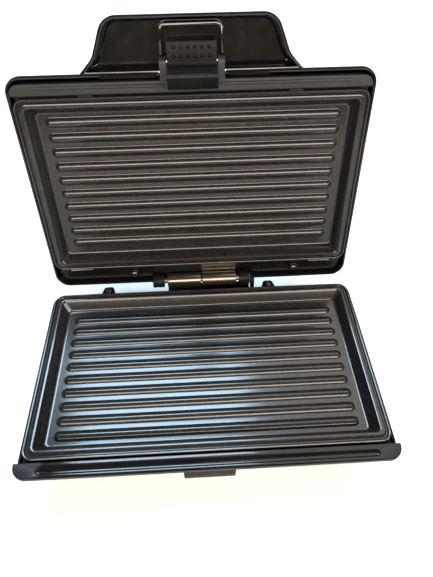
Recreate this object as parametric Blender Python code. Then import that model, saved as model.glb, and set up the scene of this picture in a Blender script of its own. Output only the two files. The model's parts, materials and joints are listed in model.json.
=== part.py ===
"""Two-slice panini press, standing open: two hinged halves, removable ribbed plates and a sprung latch.

Each half has its own frame. x runs along the hinge, y is 0 at the plate's rear rim and falls to the
front, and z is 0 on the plane of the rims. In the base z falls into the housing, and in the closed lid
it rises into the cover. The base frame stands still, and the lid frame turns about the hinge axis.
"""

import math

import bmesh
import bpy
from mathutils import Matrix, Vector

# Driving dimensions, in millimetres unless a name says otherwise.
MM = 0.001
GAP = 0.35

PLATE_HALF_WIDTH = 118.0
PLATE_DEPTH = 133.0
RIM_RADIUS = 7.0
RIM_WIDTH = 5.0
WALL_RUN = 5.4
PAN_DEPTH = 8.4
PLATE_GAUGE = 2.4
SKIRT_DEPTH = 6.0
RIB_COUNT = 10
RIB_PITCH = 10.45
RIB_REAR_Y = -21.0
RIB_HALF_LENGTH = 101.5
RIB_RADIUS = 3.3
RIB_PROUD = 2.0
PLATE_CLEARANCE = 0.2

RIM_HEIGHT = 46.0
HINGE_Y = 12.7
HINGE_Z = -2.0
OPENING_DEG = 103.2
KNUCKLE_RADIUS = 5.75
PIN_RADIUS = 2.4
PIN_CLEARANCE = 0.06
# where each knuckle and each cheek of the hinge starts and ends along x
BASE_BARREL = (-28.2, -0.5)
BASE_CHEEK = (31.2, 39.6)
LID_BARREL = (0.4, 28.6)
LID_CHEEK = (-40.2, -31.0)
# near and far side of each leaf's strip in z, and its front and rear edges in y
LEAF_BASE = (8.9, 11.2, -1.4, 14.6)
LEAF_LID = (4.1, 6.2, 1.2, 13.9)
# the moulded guard at the right of the hinge, in y and z
CABLE_GUARD_X = 40.5
CABLE_GUARD_WIDTH = 3.2
CABLE_GUARD_PROFILE = [(7.2, -11.2), (16.4, -8.4), (16.4, -0.4), (13.0, 1.6), (9.0, 1.6), (6.6, -3.6)]

DECK_HALF_WIDTH = 121.7
DECK_REAR_Y = -134.3
DECK_FRONT_Y = -144.6
DECK_TOP_Z = -0.4
DECK_UNDER_Z = -3.6
GROOVE_Y = -140.0
GROOVE_HALF_WIDTH = 2.0
GROOVE_HALF_LENGTH = 107.0
GROOVE_DEPTH = 1.8

HOUSING_GAUGE = 2.2
HOUSING_TOP_Z = -3.95
HOUSING_BOTTOM_Z = -41.0
FOOT_RADIUS = 8.0
FOOT_X = 92.0
FOOT_FRONT_Y = -112.0
FOOT_REAR_Y = -7.0
REAR_LUG_X = (-77.0, 55.0)
REAR_LUG_TOP_Z = -4.4
LEDGE_DEPTH = 6.55
LEDGE_UNDER = 8.5
# the housing's sections: half width, front y, rear y, corner radius and z
HOUSING_SECTIONS = [
    (110.5, -126.0, 5.0, 12.0, HOUSING_BOTTOM_Z),
    (114.0, -129.5, 8.4, 12.0, -37.0),
    (118.5, -136.2, 9.0, 11.0, -16.0),
    (120.5, -139.7, 3.9, 9.0, -6.8),
    (120.5, -140.4, 2.5, 9.0, HOUSING_TOP_Z),
]
LEDGE_SECTIONS = [
    (118.9, -138.4, 2.8, 6.0, -LEDGE_DEPTH),
    (113.2, -128.4, -4.6, 4.0, -LEDGE_DEPTH),
    (113.2, -128.4, -4.6, 4.0, -LEDGE_UNDER),
    (118.6, -137.7, 3.8, 6.0, -LEDGE_UNDER),
]
COVER_UNDER_Z = -40.6
COVER_GAUGE = 2.2
GLAND_X = 78.0
GLAND_Z = -28.0
GLAND_RADIUS = 5.5

ELEMENT_END_X = 30.0
ELEMENT_END_Y = -28.0
ELEMENT_RADIUS = 3.2
ELEMENT_DEPTH = 17.2
TRAY_DEPTH = 24.0

LID_DECK_HALF_WIDTH = 118.1
LID_DECK_FRONT_Y = -141.7
COVER_HALF_WIDTH = 120.6
COVER_FRONT_Y = -146.2
COVER_REAR_Y = 16.5
COVER_EDGE_Z = 0.8
LID_SCREW_X = (-56.0, 78.0)
LID_SCREW_Y = 9.2
LENS_RADIUS = 3.6
LENS_X = 9.0
LENS_Y = -72.0
LENS_TOP_Z = 43.9
# the cover's sections: half width, front y, rear y, corner radius and z
COVER_SECTIONS = [
    (COVER_HALF_WIDTH, COVER_FRONT_Y, COVER_REAR_Y, 11.0, COVER_EDGE_Z),
    (COVER_HALF_WIDTH, COVER_FRONT_Y, COVER_REAR_Y, 11.0, 4.2),
    (119.0, -142.6, 15.6, 12.0, 14.0),
    (115.4, -134.8, 13.2, 14.0, 28.0),
    (110.0, -126.0, 8.6, 17.0, 37.0),
    (98.0, -112.0, -3.0, 20.0, 41.6),
    (62.0, -82.0, -34.0, 20.0, 43.2),
]
COVER_FULL_GAUGE_Z = 34.0

# the grip's outline in x and y, and the radius of each corner
HANDLE_CORNERS = [(69.0, -146.7), (-69.0, -146.7), (-49.8, -178.0), (49.8, -178.0)]
HANDLE_RADII = [1.0, 1.0, 10.0, 10.0]
# how far in from that outline each ring of the hollow grip lies, and its z
HANDLE_RINGS = [
    (5.2, 15.4), (2.2, 14.4), (0.5, 11.0), (0.0, 2.6), (2.0, 2.6), (2.3, 9.6), (4.0, 12.0), (6.0, 12.8),
]
WELL_INNER_X = 18.0
WELL_OUTER_X = 20.4
WELL_END_Y = -171.4

LATCH_HALF_WIDTH = 15.6
LATCH_PIVOT_Y = -152.0
LATCH_PIVOT_Z = 4.0
LATCH_PIN_RADIUS = 1.25
EAR_INNER_X = 16.2
EAR_OUTER_X = 20.8
EAR_ROOM_X = 21.6
# the latch's moulding in y and z, round its boss, from the pad to the hook that goes under the catch
LATCH_BOSS_RADIUS = 3.0
LATCH_PAD = [(-163.6, -0.9), (-163.6, 1.4), (-156.4, 2.0)]
LATCH_HOOK = [
    (-145.4, -1.2), (-145.4, -15.95), (-139.8, -15.95), (-139.8, -17.4), (-146.9, -20.2),
    (-148.6, -19.8), (-149.2, -10.0), (-150.2, -1.4), (-151.8, -0.7),
]
CATCH_HALF_WIDTH = 16.2
CATCH_FRONT_Y = -144.5
CATCH_BOTTOM_Z = -15.6

BUTTON_Y = -97.0
BUTTON_Z = -16.0
BUTTON_OUTER_X = 123.6
BUTTON_RADIUS = 4.2

# the model's origin is the middle of its footprint, on the table
CENTRE_X = (DECK_HALF_WIDTH - BUTTON_OUTER_X) / 2
REAR_RIM_Y = 30.488

CORNER_STEPS = 5
ROUND_STEPS = 24

COLOURS = {
    "coating": ((0.030, 0.029, 0.028), 0.45, 0.3),
    "black_gloss": ((0.008, 0.008, 0.009), 0.15, 0.0),
    "black_satin": ((0.014, 0.014, 0.015), 0.4, 0.0),
    "grey_matt": ((0.055, 0.055, 0.054), 0.55, 0.0),
    "hinge_metal": ((0.085, 0.080, 0.075), 0.3, 0.9),
    "steel": ((0.55, 0.55, 0.54), 0.3, 1.0),
    "bright_tin": ((0.72, 0.72, 0.70), 0.35, 1.0),
    "element_sheath": ((0.20, 0.19, 0.18), 0.5, 0.8),
    "rubber": ((0.02, 0.02, 0.02), 0.85, 0.0),
    "ceramic": ((0.75, 0.72, 0.66), 0.6, 0.0),
    "sleeve_white": ((0.70, 0.69, 0.64), 0.7, 0.0),
    "lens_red": ((0.45, 0.02, 0.02), 0.15, 0.0),
    "lens_green": ((0.03, 0.30, 0.05), 0.15, 0.0),
}


# ---------------------------------------------------------------- scene and materials

def clear_scene():
    for old in list(bpy.data.objects):
        bpy.data.objects.remove(old, do_unlink=True)


def new_collection(name):
    collection = bpy.data.collections.new(name)
    bpy.context.scene.collection.children.link(collection)
    return collection


def material(name):
    found = bpy.data.materials.get(name)
    if found:
        return found
    colour, roughness, metallic = COLOURS[name]
    made = bpy.data.materials.new(name)
    made.use_nodes = True
    shader = made.node_tree.nodes["Principled BSDF"]
    shader.inputs["Base Color"].default_value = (*colour, 1.0)
    shader.inputs["Roughness"].default_value = roughness
    shader.inputs["Metallic"].default_value = metallic
    return made


clear_scene()
PARTS = new_collection("panini_press")
CUTTERS = new_collection("cutters")


def new_empty(name, location, parent=None):
    empty = bpy.data.objects.new(name, None)
    PARTS.objects.link(empty)
    empty.location = Vector(location) * MM
    empty.parent = parent
    return empty


def place(name, mesh, finish, parent, location=(0.0, 0.0, 0.0)):
    """A part from a mesh in millimetres. The mesh is measured from the location in the parent's frame."""
    mesh.transform(Matrix.Scale(MM, 4))
    mesh.materials.append(material(finish))
    mesh.shade_smooth()
    mesh.set_sharp_from_angle(angle=math.radians(30))
    part = bpy.data.objects.new(name, mesh)
    PARTS.objects.link(part)
    part.parent = parent
    part.location = Vector(location) * MM
    return part


def as_cutter(name, mesh, like):
    """A hidden operand that stands in the same frame as the part that it shapes."""
    mesh.transform(Matrix.Scale(MM, 4))
    cutter = bpy.data.objects.new(name, mesh)
    CUTTERS.objects.link(cutter)
    cutter.parent = like.parent
    cutter.location = like.location
    cutter.hide_render = True
    cutter.display_type = "WIRE"
    return cutter


def combine(part, mesh, operation):
    cutter = as_cutter(f"{part.name}_{operation.lower()}_{len(part.modifiers)}", mesh, part)
    modifier = part.modifiers.new(cutter.name, "BOOLEAN")
    modifier.operation = operation
    modifier.object = cutter
    return part


# ---------------------------------------------------------------- shapes

def finished(bm, name="shape"):
    bmesh.ops.recalc_face_normals(bm, faces=bm.faces)
    mesh = bpy.data.meshes.new(name)
    bm.to_mesh(mesh)
    bm.free()
    return mesh


def rounded_outline(corners, radii, steps=CORNER_STEPS):
    """A closed outline through the corners, each turned by an arc of its radius."""
    points = []
    count = len(corners)
    for i, corner in enumerate(corners):
        here = Vector(corner)
        before = (Vector(corners[i - 1]) - here).normalized()
        after = (Vector(corners[(i + 1) % count]) - here).normalized()
        half = before.angle(after) / 2
        radius = radii[i]
        if radius <= 0:
            points.append(here)
            continue
        reach = radius / math.tan(half)
        centre = here + (before + after).normalized() * (radius / math.sin(half))
        start = here + before * reach - centre
        turn = math.pi - 2 * half
        side = 1.0 if before.cross(after) < 0 else -1.0
        for k in range(steps + 1):
            angle = side * turn * k / steps
            spin = Matrix.Rotation(angle, 2)
            points.append(centre + spin @ start)
    return points


def box_ring(half_width, front, rear, radius, z, steps=CORNER_STEPS):
    corners = [(half_width, rear), (-half_width, rear), (-half_width, front), (half_width, front)]
    return [(p.x, p.y, z) for p in rounded_outline(corners, [radius] * 4, steps)]


def loft(rings, closed=False):
    """Bridges rings that have the same number of points, and caps both ends unless it closes on itself."""
    bm = bmesh.new()
    loops = [[bm.verts.new(point) for point in ring] for ring in rings]
    pairs = list(zip(loops, loops[1:]))
    if closed:
        pairs.append((loops[-1], loops[0]))
    for a, b in pairs:
        for i in range(len(a)):
            j = (i + 1) % len(a)
            bm.faces.new((a[i], a[j], b[j], b[i]))
    if not closed:
        bm.faces.new(loops[0])
        bm.faces.new(loops[-1])
    return finished(bm)


def slab(outline, low, high):
    """An outline in x and y, given thickness in z."""
    return loft([[(x, y, low) for x, y in outline], [(x, y, high) for x, y in outline]])


def profile_bar(outline, left, right):
    """An outline in y and z, drawn out along x."""
    return loft([[(left, y, z) for y, z in outline], [(right, y, z) for y, z in outline]])


def block(left, right, front, rear, low, high):
    bm = bmesh.new()
    size = Vector((right - left, rear - front, high - low))
    middle = Vector((left + right, front + rear, low + high)) / 2
    bmesh.ops.create_cube(bm, size=1.0, matrix=Matrix.Translation(middle) @ Matrix.Diagonal((*size, 1.0)))
    return finished(bm)


def cylinder(radius, start, end, steps=ROUND_STEPS, end_radius=None):
    """A round bar or cone from start to end, with capped ends."""
    a, b = Vector(start), Vector(end)
    axis = b - a
    turn = axis.to_track_quat("Z", "Y").to_matrix().to_4x4()
    bm = bmesh.new()
    bmesh.ops.create_cone(
        bm, cap_ends=True, segments=steps, radius1=radius,
        radius2=radius if end_radius is None else end_radius, depth=axis.length,
        matrix=Matrix.Translation((a + b) / 2) @ turn,
    )
    return finished(bm)


def joined(*meshes):
    """Several shapes in one mesh, as the operand of one Boolean."""
    bm = bmesh.new()
    for mesh in meshes:
        bm.from_mesh(mesh)
    return finished(bm)


def capsule(half_length, y, z, radius):
    bm = bmesh.new()
    lie = Matrix.Rotation(math.pi / 2, 4, "Y")
    bmesh.ops.create_uvsphere(bm, u_segments=16, v_segments=7, radius=radius, matrix=lie)
    for vert in bm.verts:
        vert.co.x += math.copysign(half_length - radius, vert.co.x)
        vert.co.y += y
        vert.co.z += z
    return finished(bm)


def tube(name, points, radius, finish, parent, resolution=2):
    """A wire or sheathed tube through the points, as a curve with filled caps."""
    curve = bpy.data.curves.new(name, "CURVE")
    curve.dimensions = "3D"
    curve.bevel_depth = radius * MM
    curve.bevel_resolution = resolution
    curve.use_fill_caps = True
    spline = curve.splines.new("POLY")
    spline.points.add(len(points) - 1)
    for target, point in zip(spline.points, points):
        target.co = (*(Vector(point) * MM), 1.0)
    curve.materials.append(material(finish))
    part = bpy.data.objects.new(name, curve)
    PARTS.objects.link(part)
    part.parent = parent
    return part


def bent_path(corners, radius, steps=4):
    """A path through the corners with each inner corner turned by an arc."""
    points = [Vector(corners[0])]
    for before, corner, after in zip(corners, corners[1:], corners[2:]):
        here = Vector(corner)
        back = (Vector(before) - here).normalized()
        ahead = (Vector(after) - here).normalized()
        half = back.angle(ahead) / 2
        reach = radius / math.tan(half)
        centre = here + (back + ahead).normalized() * (radius / math.sin(half))
        first, last = here + back * reach - centre, here + ahead * reach - centre
        points += [centre + first.slerp(last, k / steps).normalized() * radius for k in range(steps + 1)]
    points.append(Vector(corners[-1]))
    return points


# ---------------------------------------------------------------- frames

BASE = new_empty("base_frame", (CENTRE_X, REAR_RIM_Y, RIM_HEIGHT))
LID = new_empty("lid_hinge_axis", (0.0, HINGE_Y, HINGE_Z), BASE)
LID.rotation_euler.x = -math.radians(OPENING_DEG)
LATCH = new_empty("latch_axis", (0.0, LATCH_PIVOT_Y - HINGE_Y, LATCH_PIVOT_Z - HINGE_Z), LID)
IN_LID = (0.0, -HINGE_Y, -HINGE_Z)
IN_LATCH = (0.0, -LATCH_PIVOT_Y, -LATCH_PIVOT_Z)


# ---------------------------------------------------------------- the two ribbed plates

def grill_plate(name, into, parent, location):
    """A cast pan with a double lip. The sign into is the way its depth runs: -1 in the base, 1 in the lid."""
    lift = into * PLATE_CLEARANCE

    def ring(inset, depth, radius):
        z = lift + into * depth
        return box_ring(PLATE_HALF_WIDTH - inset, inset - PLATE_DEPTH, -inset, radius, z)

    wall_end = RIM_WIDTH + WALL_RUN
    top = [
        ring(wall_end, PAN_DEPTH, 3.0),
        ring(RIM_WIDTH, 0.4, 4.0),
        ring(RIM_WIDTH - 0.6, 0.0, 4.4),
        ring(3.0, 0.0, 5.0),
        ring(2.7, 1.0, 5.2),
        ring(1.9, 1.0, 5.8),
        ring(1.6, 0.0, 6.0),
        ring(0.4, 0.0, RIM_RADIUS - 0.3),
        ring(0.0, 0.5, RIM_RADIUS),
        ring(0.0, SKIRT_DEPTH, RIM_RADIUS),
    ]
    under = [
        ring(1.8, SKIRT_DEPTH, 5.6),
        ring(1.8, 3.0, 5.6),
        ring(RIM_WIDTH - 1.8, 3.0, 4.6),
        ring(wall_end - 1.8, PAN_DEPTH + PLATE_GAUGE, 3.6),
    ]
    plate = place(name, loft(top + under), "coating", parent, location)
    rib_z = lift + into * (PAN_DEPTH + RIB_RADIUS - RIB_PROUD)
    ribs = [
        capsule(RIB_HALF_LENGTH, RIB_REAR_Y - RIB_PITCH * i, rib_z, RIB_RADIUS) for i in range(RIB_COUNT)
    ]
    return combine(plate, joined(*ribs), "UNION")


# ---------------------------------------------------------------- base

def base_housing():
    rings = [box_ring(*section) for section in HOUSING_SECTIONS]
    g = HOUSING_GAUGE
    for half_width, front, rear, radius, z in reversed(HOUSING_SECTIONS):
        rings.append(box_ring(half_width - g, front + g, rear - g, radius - g, z))
    housing = place("base_housing", loft(rings, closed=True), "black_satin", BASE)
    # the ledge that the plate's skirt rests on
    combine(housing, loft([box_ring(*section) for section in LEDGE_SECTIONS], closed=True), "UNION")
    # rear lugs that carry the frame screws
    lugs = []
    for x in REAR_LUG_X:
        outline = rounded_outline([(x + 6.4, 1.0), (x + 3.4, 10.2), (x - 3.4, 10.2), (x - 6.4, 1.0)],
                                  [0.0, 2.5, 2.5, 0.0], 3)
        lugs.append(slab(outline, -15.5, REAR_LUG_TOP_Z))
    combine(housing, joined(*lugs), "UNION")
    slots = [block(BASE_BARREL[0] - 0.6, BASE_CHEEK[1] + 0.6, -3.0, 12.0, -LEAF_BASE[1] - 0.4, -LEDGE_UNDER)]
    slots.append(cylinder(BUTTON_RADIUS + 0.4, (112.0, BUTTON_Y, BUTTON_Z), (124.0, BUTTON_Y, BUTTON_Z)))
    slots.append(cylinder(GLAND_RADIUS + 0.3, (GLAND_X, 0.0, GLAND_Z), (GLAND_X, 14.0, GLAND_Z)))
    combine(housing, joined(*slots), "DIFFERENCE")
    return housing


def base_front_deck():
    corners = [(DECK_HALF_WIDTH, DECK_REAR_Y), (-DECK_HALF_WIDTH, DECK_REAR_Y),
               (-DECK_HALF_WIDTH, DECK_FRONT_Y), (DECK_HALF_WIDTH, DECK_FRONT_Y)]
    outline = rounded_outline(corners, [0.6, 0.6, 9.0, 9.0])
    inner = [(x * 0.996, DECK_REAR_Y + 0.4 + (y - DECK_REAR_Y) * 0.92) for x, y in outline]
    deck = place(
        "base_front_deck",
        loft([[(x, y, DECK_UNDER_Z) for x, y in outline],
              [(x, y, DECK_TOP_Z - 0.6) for x, y in outline],
              [(x, y - 0.4, DECK_TOP_Z) for x, y in inner]]),
        "black_satin", BASE)
    near, far = GROOVE_Y + GROOVE_HALF_WIDTH, GROOVE_Y - GROOVE_HALF_WIDTH
    groove = box_ring(GROOVE_HALF_LENGTH, far, near, GROOVE_HALF_WIDTH * 0.98, 0.0, 4)
    return combine(deck, slab([point[:2] for point in groove], DECK_TOP_Z - GROOVE_DEPTH, 2.0), "DIFFERENCE")


def latch_catch():
    top, bottom = DECK_UNDER_Z - GAP, CATCH_BOTTOM_Z
    front = CATCH_FRONT_Y
    profile = [(front, top), (front, bottom), (front + 7.5, bottom), (front + 3.6, top)]
    return place("latch_catch", profile_bar(profile, -CATCH_HALF_WIDTH, CATCH_HALF_WIDTH), "black_satin", BASE)


def bottom_cover():
    outline = [point[:2] for point in box_ring(107.9, -123.4, 2.4, 9.4, 0.0)]
    cover = place("bottom_cover", slab(outline, COVER_UNDER_Z, COVER_UNDER_Z + COVER_GAUGE), "black_satin", BASE)
    slots = [block(-30.0 + 12.0 * i, -26.0 + 12.0 * i, -86.0, -46.0, -42.0, -37.0) for i in range(6)]
    return combine(cover, joined(*slots), "DIFFERENCE")


def feet_and_bottom_screws():
    for side, x in (("left", -FOOT_X), ("right", FOOT_X)):
        for end, y in (("front", FOOT_FRONT_Y), ("rear", FOOT_REAR_Y)):
            seat = COVER_UNDER_Z - GAP
            foot = cylinder(FOOT_RADIUS - 1.0, (x, y, -RIM_HEIGHT), (x, y, seat), end_radius=FOOT_RADIUS)
            place(f"foot_{end}_{side}", foot, "rubber", BASE)
            inward = -math.copysign(17.0, x)
            screw(f"bottom_screw_{end}_{side}", (x + inward, y, seat), -1.0, 3.2, 1.3, BASE, (0, 0, 0))


def screw(name, seat, out, head_radius, head_height, parent, location):
    """A pan-head screw whose head stands on the seat. The sign out is the way that the head points in z."""
    x, y, z = seat
    head = place(name, cylinder(head_radius, (x, y, z), (x, y, z + out * head_height), 12,
                                head_radius * 0.75), "steel", parent, location)
    arm = head_radius * 0.5
    top = z + out * (head_height + 0.5)
    low = z + out * head_height * 0.5
    cross = [block(x - arm, x + arm, y - 0.4, y + 0.4, min(top, low), max(top, low)),
             block(x - 0.4, x + 0.4, y - arm, y + arm, min(top, low), max(top, low))]
    combine(head, cross[0], "DIFFERENCE")
    return combine(head, cross[1], "DIFFERENCE")


def reflector_tray(name, into, parent, location):
    def ring(inset, depth, radius):
        return box_ring(115.6 - inset, -131.0 + inset, -2.0 - inset, radius, into * depth)

    flange = LEDGE_UNDER + GAP
    shell = [ring(12.0, TRAY_DEPTH, 6.0), ring(3.4, flange, 3.0), ring(0.0, flange, 3.0),
             ring(0.0, flange + 0.8, 3.0), ring(2.9, flange + 0.8, 2.6), ring(11.5, TRAY_DEPTH + 0.8, 5.4)]
    tray = place(name, loft(shell), "bright_tin", parent, location)
    holes = [cylinder(5.4, (x, ELEMENT_END_Y, into * 22.0), (x, ELEMENT_END_Y, into * 27.0), 12)
             for x in (-ELEMENT_END_X, ELEMENT_END_X)]
    return combine(tray, joined(*holes), "DIFFERENCE")


def heating_element(name, into, parent, location):
    """A sheathed tube in one long loop under the ribs. Both cold ends turn down through the tray."""
    z = into * ELEMENT_DEPTH
    end = into * 31.0
    x, y = ELEMENT_END_X, ELEMENT_END_Y
    corners = [(-x, y, end), (-x, y, z), (-x, -62.0, z), (-90.0, -62.0, z), (-90.0, -106.0, z),
               (90.0, -106.0, z), (90.0, -62.0, z), (x, -62.0, z), (x, y, z), (x, y, end)]
    path = bent_path(corners, 7.0)
    part = tube(name, path, ELEMENT_RADIUS, "element_sheath", parent)
    part.location = Vector(location) * MM
    return part


def element_clamp(name, x, into, parent, location):
    """A folded strap that saddles the tube and stands on the tray."""
    z = ELEMENT_DEPTH
    foot = 23.6
    saddle = ELEMENT_RADIUS + GAP
    y = -106.0
    outline = [(y - 9.0, foot), (y - 9.0, foot - 1.0), (y - saddle - 1.2, foot - 1.0),
               (y - saddle - 1.2, z + 0.8), (y - saddle, z + 0.8), (y - saddle, z + 4.0),
               (y + saddle, z + 4.0), (y + saddle, z + 0.8), (y + saddle + 1.2, z + 0.8),
               (y + saddle + 1.2, foot - 1.0), (y + 9.0, foot - 1.0), (y + 9.0, foot)]
    outline = [(a, into * b) for a, b in outline]
    return place(name, profile_bar(outline, x - 4.0, x + 4.0), "bright_tin", parent, location)


def plate_clip(name, x, half_length, profile, into, parent, location):
    """A folded spring strip whose finger leans on the plate's skirt and whose foot lies on the ledge."""
    outline = [(y, into * z) for y, z in profile]
    return place(name, profile_bar(outline, x - half_length, x + half_length), "bright_tin", parent, location)


def hinge_leaf(name, barrel, cheek, turn, parent, location):
    """A leaf of the hinge: a long knuckle and a short cheek on one strip. The sign turn is its side in z."""
    strip = LEAF_BASE if turn < 0 else LEAF_LID
    left, right = min(barrel[0], cheek[0]), max(barrel[1], cheek[1])
    low, high = sorted((turn * strip[0], turn * strip[1]))
    leaf = place(name, block(left, right, strip[2], strip[3], low, high), "hinge_metal", parent, location)
    solids, bores = [], []
    for start, end in (barrel, cheek):
        solids.append(cylinder(KNUCKLE_RADIUS, (start, HINGE_Y, HINGE_Z), (end, HINGE_Y, HINGE_Z)))
        foot = sorted((HINGE_Z, turn * (strip[0] + 0.5)))
        solids.append(block(start, end, HINGE_Y - 5.0, strip[3] - 0.05, *foot))
        bore = cylinder(PIN_RADIUS + PIN_CLEARANCE, (start - 1, HINGE_Y, HINGE_Z), (end + 1, HINGE_Y, HINGE_Z))
        bores.append(bore)
    for solid in solids:
        combine(leaf, solid, "UNION")
    return combine(leaf, joined(*bores), "DIFFERENCE")


def hinge():
    hinge_leaf("base_hinge_leaf", BASE_BARREL, BASE_CHEEK, -1, BASE, (0, 0, 0))
    hinge_leaf("lid_hinge_leaf", LID_BARREL, LID_CHEEK, 1, LID, IN_LID)
    pin = cylinder(PIN_RADIUS, (LID_CHEEK[0] + 1.6, HINGE_Y, HINGE_Z), (BASE_CHEEK[1] - 1.4, HINGE_Y, HINGE_Z))
    place("hinge_pin", pin, "steel", BASE)
    guard = profile_bar(CABLE_GUARD_PROFILE, CABLE_GUARD_X, CABLE_GUARD_X + CABLE_GUARD_WIDTH)
    place("hinge_cable_guard", guard, "black_satin", BASE)


def base_electrics():
    gland = cylinder(GLAND_RADIUS, (GLAND_X, 1.0, GLAND_Z), (GLAND_X, 11.2, GLAND_Z), 20)
    place("cord_gland", gland, "rubber", BASE)
    terminal = place("terminal_block", block(50.0, 74.0, -40.0, -30.0, -37.8, -29.0), "sleeve_white", BASE)
    holes = [block(53.0 + 7.0 * i, 56.5 + 7.0 * i, -41.0, -29.0, -35.5, -31.0) for i in range(3)]
    combine(terminal, joined(*holes), "DIFFERENCE")
    place("thermostat", cylinder(8.0, (0.0, -66.0, -25.2), (0.0, -66.0, -31.0), 20), "ceramic", BASE)
    place("thermal_fuse", cylinder(2.2, (-52.0, -36.0, -31.0), (-38.0, -36.0, -31.0), 12), "sleeve_white", BASE)
    z = -31.4
    live = [(-37.4, -36.0, z), (-20.0, -36.0, z), (10.0, -50.0, z - 2), (40.0, -44.0, z - 2),
            (49.4, -38.0, z - 2)]
    neutral = [(36.0, ELEMENT_END_Y, -30.0), (42.0, -27.0, z - 2), (54.0, -24.0, z - 2), (60.0, -26.0, z - 2),
               (61.7, -29.4, z - 2)]
    link = [(-36.0, ELEMENT_END_Y, -30.0), (-44.0, -25.0, z), (-58.0, -28.0, z), (-58.0, -34.0, z),
            (-52.6, -36.0, z + 0.4)]
    tube("live_lead", bent_path(live, 5.0), 1.1, "sleeve_white", BASE)
    tube("neutral_lead", bent_path(neutral, 2.0), 1.1, "sleeve_white", BASE)
    tube("fuse_link_lead", bent_path(link, 2.0), 1.1, "sleeve_white", BASE)


def plate_release():
    """The side button that frees the lower plate, its return spring and its guide."""
    y, z = BUTTON_Y, BUTTON_Z
    head = cylinder(BUTTON_RADIUS, (117.2, y, z), (BUTTON_OUTER_X, y, z), 20)
    button = place("release_button", head, "black_satin", BASE)
    combine(button, cylinder(1.6, (113.6, y, z), (118.0, y, z), 12), "UNION")
    turns, radius = 3, 2.7
    points = []
    for i in range(turns * 10 + 1):
        angle = math.tau * i / 10
        along = 111.6 + 5.0 * i / (turns * 10)
        points.append((along, y + radius * math.cos(angle), z + radius * math.sin(angle)))
    tube("release_spring", points, 0.3, "steel", BASE, resolution=1)


def base():
    base_housing()
    base_front_deck()
    latch_catch()
    bottom_cover()
    feet_and_bottom_screws()
    for side, x in zip(("left", "right"), REAR_LUG_X):
        screw(f"rear_frame_screw_{side}", (x, 5.8, REAR_LUG_TOP_Z + GAP), 1.0, 2.6, 1.2, BASE, (0, 0, 0))
    reflector_tray("lower_reflector_tray", -1, BASE, (0, 0, 0))
    heating_element("lower_heating_element", -1, BASE, (0, 0, 0))
    clip = [(-136.6, 6.2), (-136.6, 5.4), (-134.8, 5.4), (-134.3, 4.2), (-133.4, 4.8), (-134.0, 6.2)]
    for side, x in (("left", -60.0), ("right", 60.0)):
        element_clamp(f"lower_element_clamp_{side}", x, -1, BASE, (0, 0, 0))
        plate_clip(f"lower_plate_clip_{side}", x, 8.0, clip, -1, BASE, (0, 0, 0))
    grill_plate("lower_grill_plate", -1, BASE, (0, 0, 0))
    base_electrics()
    plate_release()


# ---------------------------------------------------------------- lid

def lid_outer_cover():
    rings = [box_ring(*section) for section in reversed(COVER_SECTIONS)]
    g = HOUSING_GAUGE
    for half_width, front, rear, radius, z in COVER_SECTIONS:
        drop = 0.0 if z < 5.0 else g * min(1.0, z / COVER_FULL_GAUGE_Z)
        rings.append(box_ring(half_width - g, front + g, rear - g, radius - g, z - drop))
    cover = place("lid_outer_cover", loft(rings), "black_gloss", LID, IN_LID)
    openings = [
        block(-EAR_ROOM_X, EAR_ROOM_X, -150.0, -140.4, -1.0, 9.6),
        block(-41.0, 44.4, 9.0, 20.0, -1.0, 6.8),
    ]
    for x in (-LENS_X, LENS_X):
        low, high = (x, LENS_Y, LENS_TOP_Z - 8.0), (x, LENS_Y, LENS_TOP_Z + 2.0)
        openings.append(cylinder(LENS_RADIUS + GAP, low, high, 20))
    return combine(cover, joined(*openings), "DIFFERENCE")


def inset_corners(corners, distance):
    """The corners of an outline whose sides are all moved inwards. The outline runs counterclockwise."""
    moved = []
    for i, corner in enumerate(corners):
        here = Vector(corner)
        come = (here - Vector(corners[i - 1])).normalized()
        go = (Vector(corners[(i + 1) % len(corners)]) - here).normalized()
        first, second = Vector((-come.y, come.x)), Vector((-go.y, go.x))
        moved.append(here + (first + second) * (distance / (1 + first.dot(second))))
    return moved


def handle():
    """A hollow grip, open below, with a walled well for the latch."""
    def ring(inset, z):
        radii = [max(0.6, radius - inset) for radius in HANDLE_RADII]
        return [(p.x, p.y, z) for p in rounded_outline(inset_corners(HANDLE_CORNERS, inset), radii)]

    grip = place("handle_grip", loft([ring(*section) for section in HANDLE_RINGS]), "black_gloss", LID, IN_LID)
    inner, outer, end = WELL_INNER_X, WELL_OUTER_X, WELL_END_Y
    rear, low, high = -156.2, 3.0, 13.4
    for wall in (block(-outer, -inner, end, rear, low, high), block(inner, outer, end, rear, low, high),
                 block(-outer, outer, end - HOUSING_GAUGE, end, low, high)):
        combine(grip, wall, "UNION")
    ear_room = block(-EAR_ROOM_X, EAR_ROOM_X, rear + 0.3, -144.0, -1.0, 12.4)
    return combine(grip, ear_room, "DIFFERENCE")


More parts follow.
